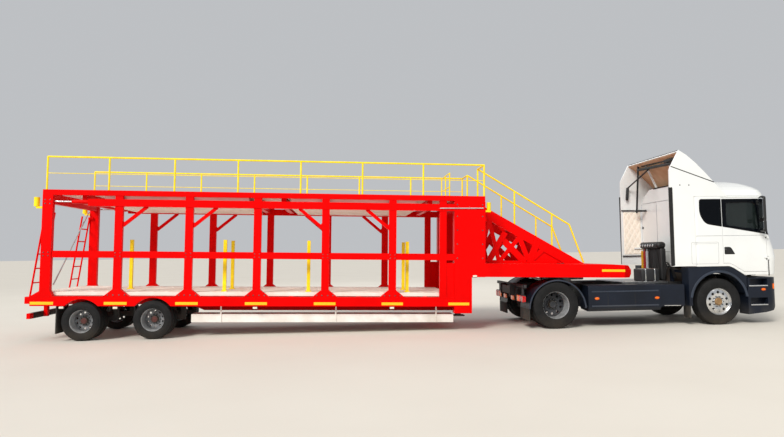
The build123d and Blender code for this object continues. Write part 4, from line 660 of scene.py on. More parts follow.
def makeTyres():
    # one piece a wheel: its tyre, or its two
    for wheel, look in tyreSizes.items():
        centre = (wheelPlaces[wheel][0] + shiftX, wheelPlaces[wheel][1])
        forms = [tyreForm(look, y, centre) for y in look["ys"]]
        makePair(f"{wheel}_tread", {"tyreRubber": forms}, f"{wheel}_wheel_{{side}}",
                 (f"{wheel}_tyre_{{side}}",), sharp=40)


makeTyres()
print("tyres made")


# rims
# y values are for the right side; disc is where the pressed disc stands, lip is the rim's outer edge
trailerRim = {"bead": 0.232, "lip": -1.212, "far": -0.780, "disc": -1.004, "dish": -0.008, "cap": -1.089,
              "nuts": 10, "capR": 0.078, "inner": 0.1, "finish": "brightSteel", "face": "dullSilver",
              "hub": "castIron", "cover": "maroonPrimer"}
rimSizes = {
    "front": {"bead": 0.292, "lip": -1.2145, "far": -0.961, "disc": -1.180, "dish": -0.012, "cap": -1.228,
              "nuts": 10, "capR": 0.088, "inner": 0.112, "finish": "polishedAluminium",
              "face": "polishedAluminium", "hub": "hubBronze", "cover": "hubBronze"},
    "drive": {"bead": 0.292, "lip": -1.2145, "far": -0.622, "disc": -0.926, "dish": -0.008, "cap": -1.021,
              "nuts": 10, "capR": 0.088, "inner": 0.112, "finish": "brightSteel", "face": "graphiteEnamel",
              "hub": "castIron", "cover": "graphiteEnamel"},
    "trailer_rear": trailerRim, "trailer_fore": trailerRim}
# hub caps of the steered wheels: stove-enamelled pressed steel, warm tan
finishes["hubBronze"] = makeFinish("hubBronze", {
    "base": "#A4835A", "shade": "#8C6D48", "patch": 60, "rough": (0.35, 0.5), "grain": (3, 0.08),
    "dust": ("#6E665C", 0.3, 0.5), "wear": ("#C2A27A", 2, 0.4), "shader": {"Metallic": 0.4}})


# rimGap: from bead to disc; holesAt and holeSize: shares of the bead's radius; roll: how far the hole's edge
# draws in, and how deep it lies there; belly: how far the disc bulges out between hub and rim
discShape = {"rimGap": 0.016, "holesAt": 0.7, "holeSize": 0.1, "roll": (0.0035, 0.0035 * 0.6, 0.0),
             "rollDepth": (0.014, 0.005, 0.001), "belly": 0.012}


def holedDisc(look, centre, holes=10, around=24, deep=5):
    # ten sectors of a ring, each with a round hole: rays leave the hole's centre evenly, and each runs from
    # the hole's edge to where it meets its sector's border; the disc leans with its radius, and the hole's
    # edge rolls inwards
    inner, outer = look["inner"], look["bead"] - discShape["rimGap"]
    middle, hole = look["bead"] * discShape["holesAt"], look["bead"] * discShape["holeSize"]
    angle = np.linspace(0, 2 * np.pi, around * 2, endpoint=False) + np.pi / around / 2
    half = np.pi / holes
    dx, dy = np.cos(angle), np.sin(angle)
    # across is measured as arc length at the hole's radius, along is the radius
    reachAcross = np.where(np.abs(dx) > 1e-9, half * middle / np.maximum(np.abs(dx), 1e-9), 9)
    outwards, inwards = (outer - middle) / np.maximum(dy, 1e-9), (inner - middle) / np.minimum(dy, -1e-9)
    reachAlong = np.where(dy > 0, outwards, inwards)
    reach = np.minimum(reachAcross, reachAlong)
    share = np.linspace(0, 1, deep)[:, None]
    distance = hole + (reach - hole) * share
    across, along = distance * dx, middle + distance * dy
    rolled = (hole - np.array(discShape["roll"]))[:, None]
    rollDepth = np.array(discShape["rollDepth"])[:, None] * np.ones_like(dx)
    depth = np.concatenate([rollDepth, np.zeros_like(across)])
    across = np.vstack([rolled * dx, across])
    along = np.vstack([middle + rolled * dy, along])
    lean = (along - inner) / (outer - inner)
    belly = discShape["belly"] * np.sin(np.pi * np.clip(lean, 0, 1))
    y = look["disc"] + look["dish"] * (1 - lean) - belly + depth
    forms = []
    for n in range(holes):
        theta = across / middle + 2 * np.pi * n / holes
        points = np.stack([centre[0] + along * np.sin(theta), y, centre[1] + along * np.cos(theta)], -1)
        forms.append(gridForm(points, closeAround=True))
    return forms, inner, outer


def boltRing(centre, ringRadius, y, count, start, radius, height):
    # count hexagon heads spread evenly on a circle, facing out of the right side
    turn = np.arange(count) * 2 * np.pi / count + start
    x, z = centre[0] + ringRadius * np.sin(turn), centre[1] + ringRadius * np.cos(turn)
    return bolts(np.stack([x, np.full(count, y), z], -1), (0, -1, 0), radius, height)


def makeRims():
    # each profile runs as radius and y, worked out from the rim's own sizes; nuts and bolts stand evenly on
    # circles
    for wheel, look in rimSizes.items():
        x, z = wheelPlaces[wheel][0] + shiftX, wheelPlaces[wheel][1]
        bead, disc, lip, cap, far, capR = [look[key] for key in ("bead", "disc", "lip", "cap", "far", "capR")]
        forms, inner, outer = holedDisc(look, (x, z))
        # the barrel seen from outside: rolled flange, bead seat, well, then the disc's weld
        barrel = [(bead + 0.004, lip + 0.012), (bead + 0.009, lip + 0.004), (bead + 0.008, lip - 0.003),
                  (bead + 0.001, lip - 0.005), (bead - 0.006, lip + 0.002), (bead - 0.009, lip + 0.016),
                  (bead - 0.012, min(lip + 0.05, disc - 0.004)), (outer, disc - 0.001), (outer, disc + 0.014),
                  (bead - 0.012, disc + 0.03), (bead - 0.012, far - 0.02), (bead - 0.006, far - 0.004),
                  (bead + 0.004, far), (bead + 0.006, far - 0.006), (bead - 0.002, far - 0.03),
                  (bead - 0.002, lip + 0.03)]
        face = disc + look["dish"]
        flange = [(inner, face + 0.001), (inner - 0.006, face - 0.006), (inner - 0.03, face - 0.008)]
        hub = [(inner - 0.03, face - 0.008), (capR, face - 0.009), (capR - 0.004, face - 0.018),
               (capR - 0.01, cap + 0.012), (capR - 0.018, cap + 0.003), (capR - 0.036, cap),
               (capR - 0.04, cap + 0.003), (0.018, cap + 0.001), (0.0004, cap)]
        forms.append(turned(flange, (x, z), 60))
        nuts = boltRing((x, z), (capR + inner) / 2 + 0.006, face - 0.010, look["nuts"], np.pi / look["nuts"],
                        0.0135, 0.022)
        small = boltRing((x, z), capR - 0.027, cap + 0.001, 8, 0.0, 0.005, 0.004)
        parts = {look["finish"]: [turned(barrel, (x, z), 80)]}
        inside, outside = [turned(hub[:5], (x, z), 48)], [turned(hub[4:], (x, z), 48)]
        for finishName, group in ((look["face"], forms), (look["hub"], inside), (look["cover"], outside),
                                  ("greasedSteel", nuts + small)):
            parts[finishName] = parts.get(finishName, []) + group
        makePair(f"{wheel}_disc", parts, f"{wheel}_wheel_{{side}}",
                 (f"{wheel}_rim_{{side}}",), sharp=38)


makeRims()
print("rims made")


# seats
seatPlan = {"y": 0.600, "cushion": ((8.50, 1.628), (9.01, 1.785), 0.245),
            "back": ((8.36, 1.745), (8.56, 2.365), 0.235), "head": ((8.355, 2.372), (8.455, 2.545), 0.13),
            "lean": -0.13, "fill": 0.7,
            "plinth": ((8.56, 1.352), (8.95, 1.64), 0.18)}


def cushionForm(low, high, y, halfY, lean=0.0, power=4.5, rows=26, columns=34):
    # a crowned pad: a superellipsoid of that power, pinched along two sewn channels, leaning with its height
    v = np.linspace(-np.pi / 2, np.pi / 2, rows)[:, None]
    u = np.linspace(-np.pi, np.pi, columns, endpoint=False)
    bend = 2 / power
    cosV, sinV = np.abs(np.cos(v)) ** bend, bent(np.sin(v), bend)
    cosU, sinU = bent(np.cos(u), bend), bent(np.sin(u), bend)
    halfX, halfZ = (high[0] - low[0]) / 2, (high[1] - low[1]) / 2
    across = halfY * cosV * sinU
    channel = 0.010 * np.exp(-((np.abs(across) - halfY * 0.55) / 0.016) ** 2)
    x = (low[0] + high[0]) / 2 + (halfX - channel) * cosV * cosU
    z = (low[1] + high[1]) / 2 + (halfZ - channel) * sinV * np.ones_like(u)
    x = x + lean * (z - low[1])
    return gridForm(onLorry(np.stack([x, y + across, z], -1)), closeAround=True, caps=True)


def makeSeats():
    # a cushion, a back and a head rest on each side, and the plinth they stand on
    look = seatPlan
    first = None
    for side, y in (("left", look["y"]), ("right", -look["y"])):
        for part, lean in (("cushion", 0.0), ("back", look["lean"]), ("head", 0.0)):
            low, high, halfY = look[part]
            form = cushionForm(low, high, y, halfY, lean)
            pad = makePiece(f"seat_{part}_{side}", {"seatCloth": [form]}, "cab", sharp=60)
            first = first or pad
        low, high, halfY = look["plinth"]
        plinth = lorryBlock((low[0], y - halfY, low[1]), (high[0], y + halfY, high[1]), 0.02)
        makePiece(f"seat_plinth_{side}", {"cabTrim": [plinth]}, "cab")
    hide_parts("seats")


makeSeats()
print("seats made")


# Panels on the cab's skin. Its sections from the foot to the roof's shoulder: height, front, how far in its
# sides lie.
cabSkin = {"height": (1.04, 1.46, 1.65, 2.03, 2.83, 2.92, 3.00, 3.07),
           "front": (9.80, 9.83, 9.795, 9.68, 9.60, 9.61, 9.59, 9.53),
           "setIn": (0.018, 0.014, 0.014, 0.014, 0.022, 0.060, 0.125, 0.215),
           "corner": 0.300, "rear": 7.84, "fairing": 1.228}


def onCab(x, z, out=0.0):
    # a place on the right side, as x, y, z: the flat side runs into a corner of radius c, where d is how
    # far past the corner's start it lies; y goes in by c - sqrt(c² - d²) and out is added along the
    # corner's normal
    c = cabSkin["corner"]
    front, setIn = [np.interp(z, cabSkin["height"], cabSkin[key]) for key in ("front", "setIn")]
    d = np.clip(x - (front - c), 0, c * 0.985)
    straight = np.sqrt(c * c - d * d)
    y = halfWidth - setIn - c + straight
    y = np.where(x < cabSkin["rear"], cabSkin["fairing"], y)
    return onLorry(np.stack([x + out * d / c, -(y + out * straight / c), z], -1))


def flatAt(y):
    # a flat side surface, as a function like onCab
    return lambda x, z, out=0.0: onLorry(np.stack([x, np.full_like(x, -y) - out, z], -1))


def roundedLoop(corners, radius, count=80):
    # a closed outline with rounded corners: near each corner p it follows (1-s)²a + 2s(1-s)p + s²b between
    # points a and b on its two sides, and the whole is cut into even steps
    corners = np.asarray(corners, float)
    s = np.linspace(0, 1, 7)[:, None]
    pieces = []
    radii = np.broadcast_to(radius, len(corners))
    for p, before, after, r in zip(corners, np.roll(corners, 1, 0), np.roll(corners, -1, 0), radii):
        a, b = [p + (other - p) * min(r / np.linalg.norm(other - p), 0.49) for other in (before, after)]
        pieces.append((1 - s) ** 2 * a + 2 * s * (1 - s) * p + s * s * b)
    path = np.vstack(pieces + [pieces[0][:1]])
    along = np.concatenate([[0], np.cumsum(np.linalg.norm(np.diff(path, axis=0), axis=1))])
    at = np.linspace(0, along[-1], count, endpoint=False)
    return np.stack([np.interp(at, along, path[:, 0]), np.interp(at, along, path[:, 1])], -1)


def ovalLoop(x, z, halfX, halfZ, power=2.0, count=36):
    # a superellipse: |x/a|^p + |z/b|^p = 1
    t = np.linspace(0, 2 * np.pi, count, endpoint=False)
    return np.stack([x + halfX * bent(np.cos(t), 2 / power), z + halfZ * bent(np.sin(t), 2 / power)], -1)


def skinPanel(outer, surface, proud, inner=None, bury=0.004, crown=0.0):
    # a thin panel on a surface: its outline sinks in by bury and rises to proud; then it closes over its
    # middle in shrinking rings, crowned by the square of what is left, or it stops at the rim of its
    # opening
    edge = proud - min(0.0015, (proud + bury) / 3)
    if inner is None:
        middle = outer.mean(0)
        rings = [(outer, -bury), (outer, edge), (middle + (outer - middle) * 0.99, proud)]
        rings += [(middle + (outer - middle) * k, proud + crown * (1 - k * k))
                  for k in (0.85, 0.6, 0.3, 0.05)]
    else:
        rings = [(outer, -bury), (outer, edge)] + [(outer + (inner - outer) * k, proud) for k in (0.05, 0.95)]
        rings += [(inner, edge), (inner, -bury)]
    rows = np.array([surface(ring[:, 0], ring[:, 1], out) for ring, out in rings])
    return gridForm(rows, closeAround=True, caps=inner is None, closeAlong=inner is not None)


def seamLoop(corners, radius, surface, width=0.006, proud=0.0012, count=100):
    # a narrow line round a closed outline: the outline and the same drawn in by its width
    outer = roundedLoop(corners, radius, count)
    middle = outer.mean(0)
    reach = np.abs(outer - middle).max(0)
    inner = middle + (outer - middle) * (1 - width / reach)
    return skinPanel(outer, surface, proud, inner, 0.002)


def seamLine(path, surface, width=0.006, proud=0.0012, count=24):
    # a narrow strip along an open path: the path moved half the width to each side, square to it
    path = np.asarray(path, float)
    along = np.concatenate([[0], np.cumsum(np.linalg.norm(np.diff(path, axis=0), axis=1))])
    at = np.linspace(0, along[-1], count)
    line = np.stack([np.interp(at, along, path[:, 0]), np.interp(at, along, path[:, 1])], -1)
    step = np.gradient(line, axis=0)
    step /= np.linalg.norm(step, axis=1)[:, None]
    aside = np.stack([-step[:, 1], step[:, 0]], -1) * width / 2
    layers = [(-1, -0.003), (-1, proud * 0.5), (-0.7, proud), (0.7, proud), (1, proud * 0.5), (1, -0.003)]
    rows = [surface((line + aside * share)[:, 0], (line + aside * share)[:, 1], out) for share, out in layers]
    return gridForm(np.array(rows).transpose(1, 0, 2), closeAround=True, caps=True)


bandPlan = {"quarter": ((7.958, 2.790), (8.464, 2.790), (8.464, 2.168), (8.085, 2.232), (7.948, 2.450)),
            "quarterRound": (0.055, 0.004, 0.004, 0.10, 0.14),
            "door": ((8.479, 2.790), (9.345, 2.790), (9.486, 2.058), (9.486, 1.994), (8.479, 2.166)),
            "glass": ((8.575, 2.705), (9.262, 2.705), (9.335, 2.250), (9.338, 2.098), (8.575, 2.200)),
            "pillar": ((9.362, 2.790), (9.560, 2.790), (9.634, 2.060), (9.632, 1.972),
                       (9.510, 1.990), (9.506, 2.060)),
            "handle": ((8.503, 1.716), (8.650, 1.716), (8.750, 1.552), (8.503, 1.552)),
            "hatch": ((7.742, 1.829), (8.372, 1.829), (8.362, 1.346), (7.736, 1.346)),
            "slot": ((9.513, 1.485), (9.533, 1.460), (9.541, 1.060), (9.513, 1.060)),
            "barEnds": (8.530, 8.690), "barZ": 1.590, "postXs": (8.535, 8.685), "key": (8.535, 1.660),
            "roofLine": ((8.42, 2.862), (9.40, 2.856)), "crease": ((7.86, 1.967), (8.462, 1.967)),
            "lowCrease": ((7.78, 1.792), (8.34, 1.792)), "doorCrease": ((8.482, 1.967), (9.484, 1.967)),
            "fairingEdge": ((7.274, 3.052), (7.352, 3.064), (7.346, 1.312), (7.271, 1.312)),
            "fairingJoint": ((7.335, 3.528), (8.330, 3.170)), "plugs": ((7.53, 7.74), (3.108, 3.106)),
            "liner": ((7.34, 7.80), (1.56, 2.66))}


def makeCabPanels():
    # the black window band is in three pieces, of which the middle one swings with the door
    plan = bandPlan
    quarter = skinPanel(roundedLoop(plan["quarter"], plan["quarterRound"], 120), onCab, 0.004)
    pillar = skinPanel(roundedLoop(plan["pillar"], 0.006, 120), onCab, 0.004)
    opening = roundedLoop(plan["glass"], 0.05, 160)
    door = skinPanel(roundedLoop(plan["door"], 0.008, 160), onCab, 0.004, opening, bury=0.012)
    makePair("window_band", {"blackGlass": [quarter, pillar]}, "cab", sharp=50)
    makePair("door_band", {"blackGlass": [door]}, "door_{side}", sharp=50)
    # the door's handle: a dished black plate with a bar across it on two posts, and the key's barrel
    handle = skinPanel(roundedLoop(plan["handle"], (0.02, 0.05, 0.02, 0.02), 90), onCab, 0.004)
    start, end = plan["barEnds"]
    bar = tube(onCab(np.linspace(start, end, 12), np.full(12, plan["barZ"]), 0.016), 0.010, 12)
    posts = [tube(onCab(np.full(4, x), np.full(4, plan["barZ"]), np.linspace(0, 0.016, 4)), 0.008, 10)
             for x in plan["postXs"]]
    barrel = bolts([onCab(*plan["key"], 0.004)], (0, -1, 0), 0.012, 0.004, 20)
    parts = {"blackPlastic": [handle, bar] + posts, "greasedSteel": barrel}
    makePair("door_handle", parts, "door_{side}")
    # shut lines and pressed lines, and the slot beside the front corner; the pressed lines' grey is painted
    # shade
    slot = skinPanel(roundedLoop(plan["slot"], (0.012, 0.012, 0.003, 0.003), 60), onCab, 0.002)
    lines = [seamLoop(plan["hatch"], 0.03, onCab), seamLine(plan["roofLine"], onCab, 0.008, 0.0015),
             seamLine(plan["crease"], onCab, 0.010, 0.002), seamLine(plan["lowCrease"], onCab, 0.006)]
    makePair("cab_lines", {"sealantAndCreaseShade": lines, "blackRubber": [slot]}, "cab")
    # the door's pressed line: a grey strip of painted shade
    crease = seamLine(plan["doorCrease"], onCab, 0.010, 0.002, 40)
    makePair("door_lines", {"sealantAndCreaseShade": [crease]}, "door_{side}")
    # the fairing: rubber along its rear edge, the joint with the deflector, two plugs
    side = flatAt(cabSkin["fairing"])
    rubber = skinPanel(roundedLoop(plan["fairingEdge"], 0.006, 100), side, 0.006)
    joint = seamLine(plan["fairingJoint"], side, 0.020, 0.003, 40)
    plugs = bolts(side(*np.array(plan["plugs"])), (0, -1, 0), 0.014, 0.003, 20)
    makePair("fairing_trim", {"blackRubber": [rubber, joint] + plugs}, "cab")
    # its inner face is lined with quilted cloth: the pad swells between two crossed sets of stitch lines by
    # sqrt(|sin||sin|), and falls to nothing at its edges
    (x0, x1), (z0, z1) = plan["liner"]
    x, z = np.meshgrid(np.linspace(x0, x1, 74), np.linspace(z0, z1, 168), indexing="ij")
    swell = 0.004 + 0.010 * np.sqrt(np.abs(np.sin((x + z * 0.62) * 21) * np.sin((x - z * 0.62) * 21)))
    edge = np.minimum(np.minimum(x - x0, x1 - x), np.minimum(z - z0, z1 - z))
    swell = swell * np.clip(edge / 0.02, 0, 1)
    quilt = gridForm(onLorry(np.stack([x, -(cabSkin["fairing"] - 0.034 - swell), z], -1)))
    makePair("quilted_liner", {"quiltedLiner": [quilt]}, "cab", sharp=70)


# bars: start, end, points along, radius, points around; blocks: low and high corner, edge radius
rearPlan = {
    "bars": (((7.600, 0.805, 3.815), (7.600, 0.970, 2.640), 12, 0.024, 14),
             ((7.620, 0.300, 3.672), (7.455, 1.120, 3.284), 14, 0.018, 12),
             ((7.452, 1.125, 3.270), (7.425, 1.125, 2.990), 10, 0.036, 14),
             ((7.600, 0.830, 3.715), (7.600, -1.180, 3.640), 20, 0.034, 14),
             ((7.610, 0.640, 3.785), (7.610, -1.180, 3.735), 20, 0.016, 10),
             ((7.29, 1.165, 2.70), (7.83, 1.165, 2.70), 8, 0.015, 10),
             ((7.29, 1.165, 1.52), (7.83, 1.165, 1.52), 8, 0.015, 10)),
    "blocks": (((7.56, 0.90, 2.655), (7.84, 1.00, 2.700), 0.02),
               ((7.560, -0.860, 3.700), (7.650, -0.500, 3.775), 0.02)),
    "seals": (((7.532, -1.19, 3.888), (7.532, 1.19, 3.888), 30, 0.010, 12),
              ((7.836, -0.56, 3.203), (7.836, 0.52, 3.203), 24, 0.014, 10)),
    "wraps": (((7.260, -1.236, 1.305), (7.290, -1.236 + 0.020, 3.060), 0.008),
              ((7.260, 1.216, 1.305), (7.290, 1.216 + 0.020, 3.060), 0.008)),
    # the outline of the sheet of painted reflection under the deflector, and how far across it runs
    "reflectionSheet": ((8.215, 3.250), (8.107, 3.362), (7.887, 3.582), (7.687, 3.752), (7.530, 3.850), (7.527, 3.842),
               (7.684, 3.744), (7.881, 3.575), (8.100, 3.355), (8.208, 3.244)),
    "reflectionSheetAcross": (-1.190, 1.190), "plug": (7.838, 1.135, 2.242), "lineZs": (1.62, 2.86),
    "lineYs": (-0.42, 0.41)}


def makeRearFrame():
    # behind the cab: an upright tube under the deflector, a sloping arm with its grip, rails above and
    # below the liner, and a tan sheet under the deflector whose colour is painted reflection of the ground's
    # light
    # the sheet's tan is painted reflected light in the deflector's shade
    reflectionSheet = plate(np.array(rearPlan["reflectionSheet"]) + [shiftX, 0], 1, *rearPlan["reflectionSheetAcross"])
    makePiece("deflector_reflectionSheet", {"groundReflectionTan": [reflectionSheet]}, "cab", sharp=20)
    plug = bolts(onLorry([rearPlan["plug"]]), (-1, 0, 0), 0.036, 0.012, 4)
    bars = [lorryBar(*row) for row in rearPlan["bars"]] + [lorryBlock(*row) for row in rearPlan["blocks"]]
    rubber = [lorryBar(*row) for row in rearPlan["seals"]] + [lorryBlock(*row) for row in rearPlan["wraps"]]
    makePiece("rear_frame", {"blackPlastic": bars + plug, "blackRubber": rubber}, "cab")
    lines = [lorryBlock((7.832, -1.10, z), (7.842, 1.10, z + 0.010), 0.003) for z in rearPlan["lineZs"]]
    lines += [lorryBlock((7.832, y, 1.32), (7.842, y + 0.010, 2.86), 0.003) for y in rearPlan["lineYs"]]
    makePiece("rear_wall_lines", {"sealantAndCreaseShade": lines}, "cab")


mirrorPlan = {"centre": (9.318, 1.402), "half": (0.043, 0.102), "turn": 0.12, "low": 2.032, "high": 2.838,
              "round": 0.05, "bend": 0.55, "glassHalf": 0.088, "glasses": ((2.345, 2.79), (2.075, 2.255)),
              "arms": ((9.326, 2.70), (9.420, 2.15))}


def makeMirrors():
    # the housing is a superellipse turned a little in plan; towards both ends it shrinks by sqrt(1 - t²)
    look = mirrorPlan
    t = np.linspace(0, 2 * np.pi, 40, endpoint=False)
    turnX, turnY = bent(np.cos(t), look["bend"]), bent(np.sin(t), look["bend"])
    outline = np.stack([turnX * look["half"][0], turnY * look["half"][1]], -1)
    cosine, sine = math.cos(look["turn"]), math.sin(look["turn"])
    swing = np.array([[cosine, -sine], [sine, cosine]])
    rise = np.linspace(-1, 1, 41)
    midZ, halfZ = (look["low"] + look["high"]) / 2, (look["high"] - look["low"]) / 2
    z = midZ + rise * halfZ
    into = np.clip((np.abs(z - midZ) - halfZ + look["round"]) / look["round"], 0, 1)
    size = 0.30 + 0.70 * np.sqrt(1 - into ** 2)
    waist = 1 - 0.10 * np.exp(-((z - 2.30) / 0.012) ** 2)
    ring = (outline[None] * (size * waist)[:, None, None]) @ swing.T + look["centre"]
    height = np.broadcast_to(z[:, None, None], (len(z), len(t), 1))
    shell = gridForm(onLorry(np.concatenate([ring * [1, -1], height], -1)), closeAround=True, caps=True)
    power = 2 / look["bend"]

    def onRear(across, z, out=0.0):
        # the housing's rear face: x = -a (1 - |y/b|^p)^(1/p), turned with it
        depth = look["half"][0] * (1 - np.abs(across / look["half"][1]) ** power) ** (1 / power) + out
        plan = np.stack([-depth, across], -1) @ swing.T + look["centre"]
        return onLorry(np.stack([plan[:, 0], -plan[:, 1], z], -1))

    glasses, half = [], look["glassHalf"]
    for low, high in look["glasses"]:
        loop = roundedLoop(((-half, low), (half, low), (half, high), (-half, high)), 0.03, 80)
        glasses.append(skinPanel(loop, onRear, 0.003))
    # two arms that bend from the door into the housing: (1-s)²a + 2s(1-s)b + s²c
    arms = []
    for start, z0 in look["arms"]:
        s = np.linspace(0, 1, 14)[:, None]
        a, b = np.array([start, -1.225, z0]), np.array([start, -1.30, z0])
        c = np.array([9.325, -1.345, z0 + 0.02])
        arms.append(tube(onLorry((1 - s) ** 2 * a + 2 * s * (1 - s) * b + s * s * c), 0.017, 14))
        arms.append(skinPanel(ovalLoop(start, z0, 0.034, 0.05, 3), onCab, 0.012))
    parts = {"blackPlastic": [shell] + arms, "mirrorGlass": glasses}
    makePair("mirror_housing", parts, "door_{side}", ("mirror_{side}",))


facePlan = {"wiperFeet": (-0.95, -0.32, 0.31), "screen": (1.085, 2.062, 2.798), "opening": (1.03, 2.13, 2.74)}


def onNose(y, z, out=0.0):
    # a place on the cab's front, as x, y, z: flat in the middle, and round the corners as onCab has them
    c = cabSkin["corner"]
    front, setIn = [np.interp(z, cabSkin["height"], cabSkin[key]) for key in ("front", "setIn")]
    e = np.clip(np.abs(y) - (halfWidth - setIn - c), 0, c * 0.98)
    return onLorry(np.stack([front - c + np.sqrt(c * c - e * e) + out, y, z], -1))


def makeFace():
    # three wipers, each an arm and a blade on the windscreen, and the black edge printed round the glass
    s = np.linspace(0, 1, 16)
    wipers, blades = [], []
    for foot in facePlan["wiperFeet"]:
        rise = 0.012 + 0.014 * np.sin(np.pi * s)
        wipers.append(tube(onNose(foot + 0.33 * s, 2.040 + 0.075 * s, rise), 0.008, 10))
        across, up = foot + 0.02 + 0.57 * s, 2.098 + 0.030 * s
        wipers.append(tube(onNose(across, up, 0.010), 0.005, 8))
        blades.append(tube(onNose(across, up, -0.012), 0.0075, 8))
    screen, opening = [((-half, low), (half, low), (half, high), (-half, high))
                       for half, low, high in (facePlan["screen"], facePlan["opening"])]
    inner = roundedLoop(opening, 0.06, 200)
    frit = skinPanel(roundedLoop(screen, 0.01, 200), onNose, -0.018, inner, bury=0.0245)
    makePiece("wipers", {"blackPlastic": wipers, "blackRubber": blades}, "cab")
    makePiece("screen_frit", {"blackGlass": [frit]}, "cab", sharp=60)


makeCabPanels()
makeRearFrame()
makeMirrors()
makeFace()
print("cab panels, rear frame, mirrors and wipers made")


def arcBand(centre, radius, start, end, section, surfaceY, count=60):
    # a closed section carried round an arc: its first value moves along the radius, its second out of the
    # side
    angle = np.radians(np.linspace(start, end, count))[:, None]
    section = np.asarray(section, float)
    r = radius + section[:, 0]
    across = np.broadcast_to(-(surfaceY + section[:, 1]), (count, len(section)))
    points = np.stack([centre[0] + r * np.cos(angle), across, centre[1] + r * np.sin(angle)], -1)
    return gridForm(onLorry(points), closeAround=True, caps=True)


lipSection = ((-0.012, -0.030), (-0.012, 0.006), (-0.006, 0.013), (0.010, 0.016), (0.034, 0.013),
              (0.042, 0.004), (0.042, -0.006))
# over the drive wheels the neck swings close above, so the lip stands half as high
lowLip = [(reach * 0.5 if reach > 0 else reach, out) for reach, out in lipSection]
# arches: centre, radius, start and end in degrees, section, how far out the side lies
trimPlan = {
    "arches": (((8.340, 0.520), 0.638, 8, 172, lipSection, 1.242),
               ((4.660, 0.420), 0.620, 2, 178, lowLip, 1.246)),
    "skirt": 1.244, "bumper": 1.250, "ribZs": (0.782, 0.470), "jointXs": (5.785, 6.395),
    "stripe": ((7.085, 0.448), (7.462, 0.443)), "stripeOut": 1.190,
    "skirtMarkers": ((5.535, 0.637), (6.894, 0.626)), "bumperMarkers": ((9.359, 0.762),),
    "flaps": (((7.648, -1.234, 0.160), (7.676, -0.970, 0.428), 0.008),
              ((4.016, -1.234, 0.182), (4.044, -0.590, 0.440), 0.008)),
    "steps": ((9.035, 9.469, 0.846), (9.061, 9.459, 0.425)),
    "numberPlate": ((9.748, -0.26, 0.42), (9.757, 0.26, 0.53), 0.004), "slotZs": (0.60, 0.645, 0.69)}


def makeLowerTrim():
    # raised lips round both arches; pressed ribs along the skirt, its joints, its stripe
    lips = [arcBand(*row) for row in trimPlan["arches"]]
    side = flatAt(trimPlan["skirt"])
    ribs = [seamLine(((5.42, z), (6.93, z)), side, 0.030, 0.009, 30) for z in trimPlan["ribZs"]]
    joints = [seamLine(((x, 0.44), (x, 0.885)), side, 0.007, 0.0015) for x in trimPlan["jointXs"]]
    stripe = seamLine(trimPlan["stripe"], flatAt(trimPlan["stripeOut"]), 0.016, 0.006)
    # the lips and ribs take a lighter copy of the navy: painted highlight
    makePair("arch_lips", {"navyLipHighlight": lips + ribs}, "tractor")
    makePair("skirt_lines", {"blackRubber": joints, "chromeTrim": [stripe]}, "tractor")
    # oval side markers: a dark base and a crowned amber lens
    bases, lenses = [], []
    for name in ("skirt", "bumper"):
        surface = flatAt(trimPlan[name])
        for x, z in trimPlan[name + "Markers"]:
            bases.append(skinPanel(ovalLoop(x, z, 0.060, 0.036, 2.6), surface, 0.008))
            lenses.append(skinPanel(ovalLoop(x, z, 0.046, 0.024, 2.4), surface, 0.012, crown=0.006))
    makePair("side_markers", {"maroonPrimer": bases, "amberLens": lenses}, "tractor")
    # black rubber over both pairs of mud flaps
    flaps = [lorryBlock(*row) for row in trimPlan["flaps"]]
    makePair("mud_flaps", {"blackRubber": flaps}, "tractor")
    # entry steps: bright tread edges across both openings, and cross-bar treads in them
    treads = []
    for x0, x1, z in trimPlan["steps"]:
        treads.append(lorryBlock((x0, -1.256, z - 0.014), (x1, -1.236, z + 0.012), 0.005))
        treads.append(lorryBlock((9.062, -1.245, z + 0.004), (9.452, -1.10, z + 0.010), 0.002))
        treads += [lorryBlock((x, -1.235, z + 0.008), (x + 0.008, -1.11, z + 0.016), 0.002)
                   for x in np.linspace(9.09, 9.42, 9)]
    makePair("step_treads", {"polishedAluminium": treads}, "tractor")
    # number plate and low grille at the front, both bare
    slots = [lorryBlock((9.744, -0.62, z), (9.754, 0.62, z + 0.022), 0.004) for z in trimPlan["slotZs"]]
    parts = {"blackPlastic": slots, "whiteLacquer": [lorryBlock(*trimPlan["numberPlate"])]}
    makePiece("front_details", parts, "tractor")


# wrap: the headlamp's outline in plan, from the nose and from the side; lenses: low and high y, top, colour
truckLampPlan = {
    "wrap": ((-0.100, 0.510), (0.002, 0.510), (0.002, 0.265), (-0.012, 0.190),
             (-0.050, 0.120), (-0.120, 0.060), (-0.200, 0.025), (-0.200, 0.090)),
    "nose": 9.750, "bowlShare": 0.955, "bowl": (0.755, 0.895, 0.004), "cover": (0.747, 0.903, 0.010),
    "amber": ((9.560, -1.2265, 0.765), (9.640, -1.150, 0.885), 0.012),
    "eyes": (9.7485, (0.80, 0.93), 0.826, 0.052),
    "bar": (((3.945, -1.178, 0.885), (4.000, 1.178, 0.955), 0.008),
            ((3.955, -1.190, 0.620), (3.975, 1.190, 0.700), 0.004),
            ((3.930, -0.55, 0.66), (3.985, -0.50, 0.93), 0.006),
            ((3.930, 0.50, 0.66), (3.985, 0.55, 0.93), 0.006),
            ((3.950, -1.00, 0.66), (3.990, -0.94, 0.93), 0.006),
            ((3.950, 0.94, 0.66), (3.990, 1.00, 0.93), 0.006)),
    "boxes": (((3.925, -1.195, 0.570), (3.972, -0.670, 0.730), 0.012),
              ((3.925, -0.450, 0.565), (3.972, -0.190, 0.690), 0.012)),
    "lenses": ((-1.188, -1.050, 0.718, "redLens"), (-1.042, -0.970, 0.718, "clearLens"),
               (-0.962, -0.835, 0.718, "redLens"), (-0.827, -0.680, 0.718, "amberLens"),
               (-0.440, -0.200, 0.676, "amberLens")),
    "sideLens": ((3.930, -1.202, 0.59), (3.966, -1.190, 0.71), 0.005)}


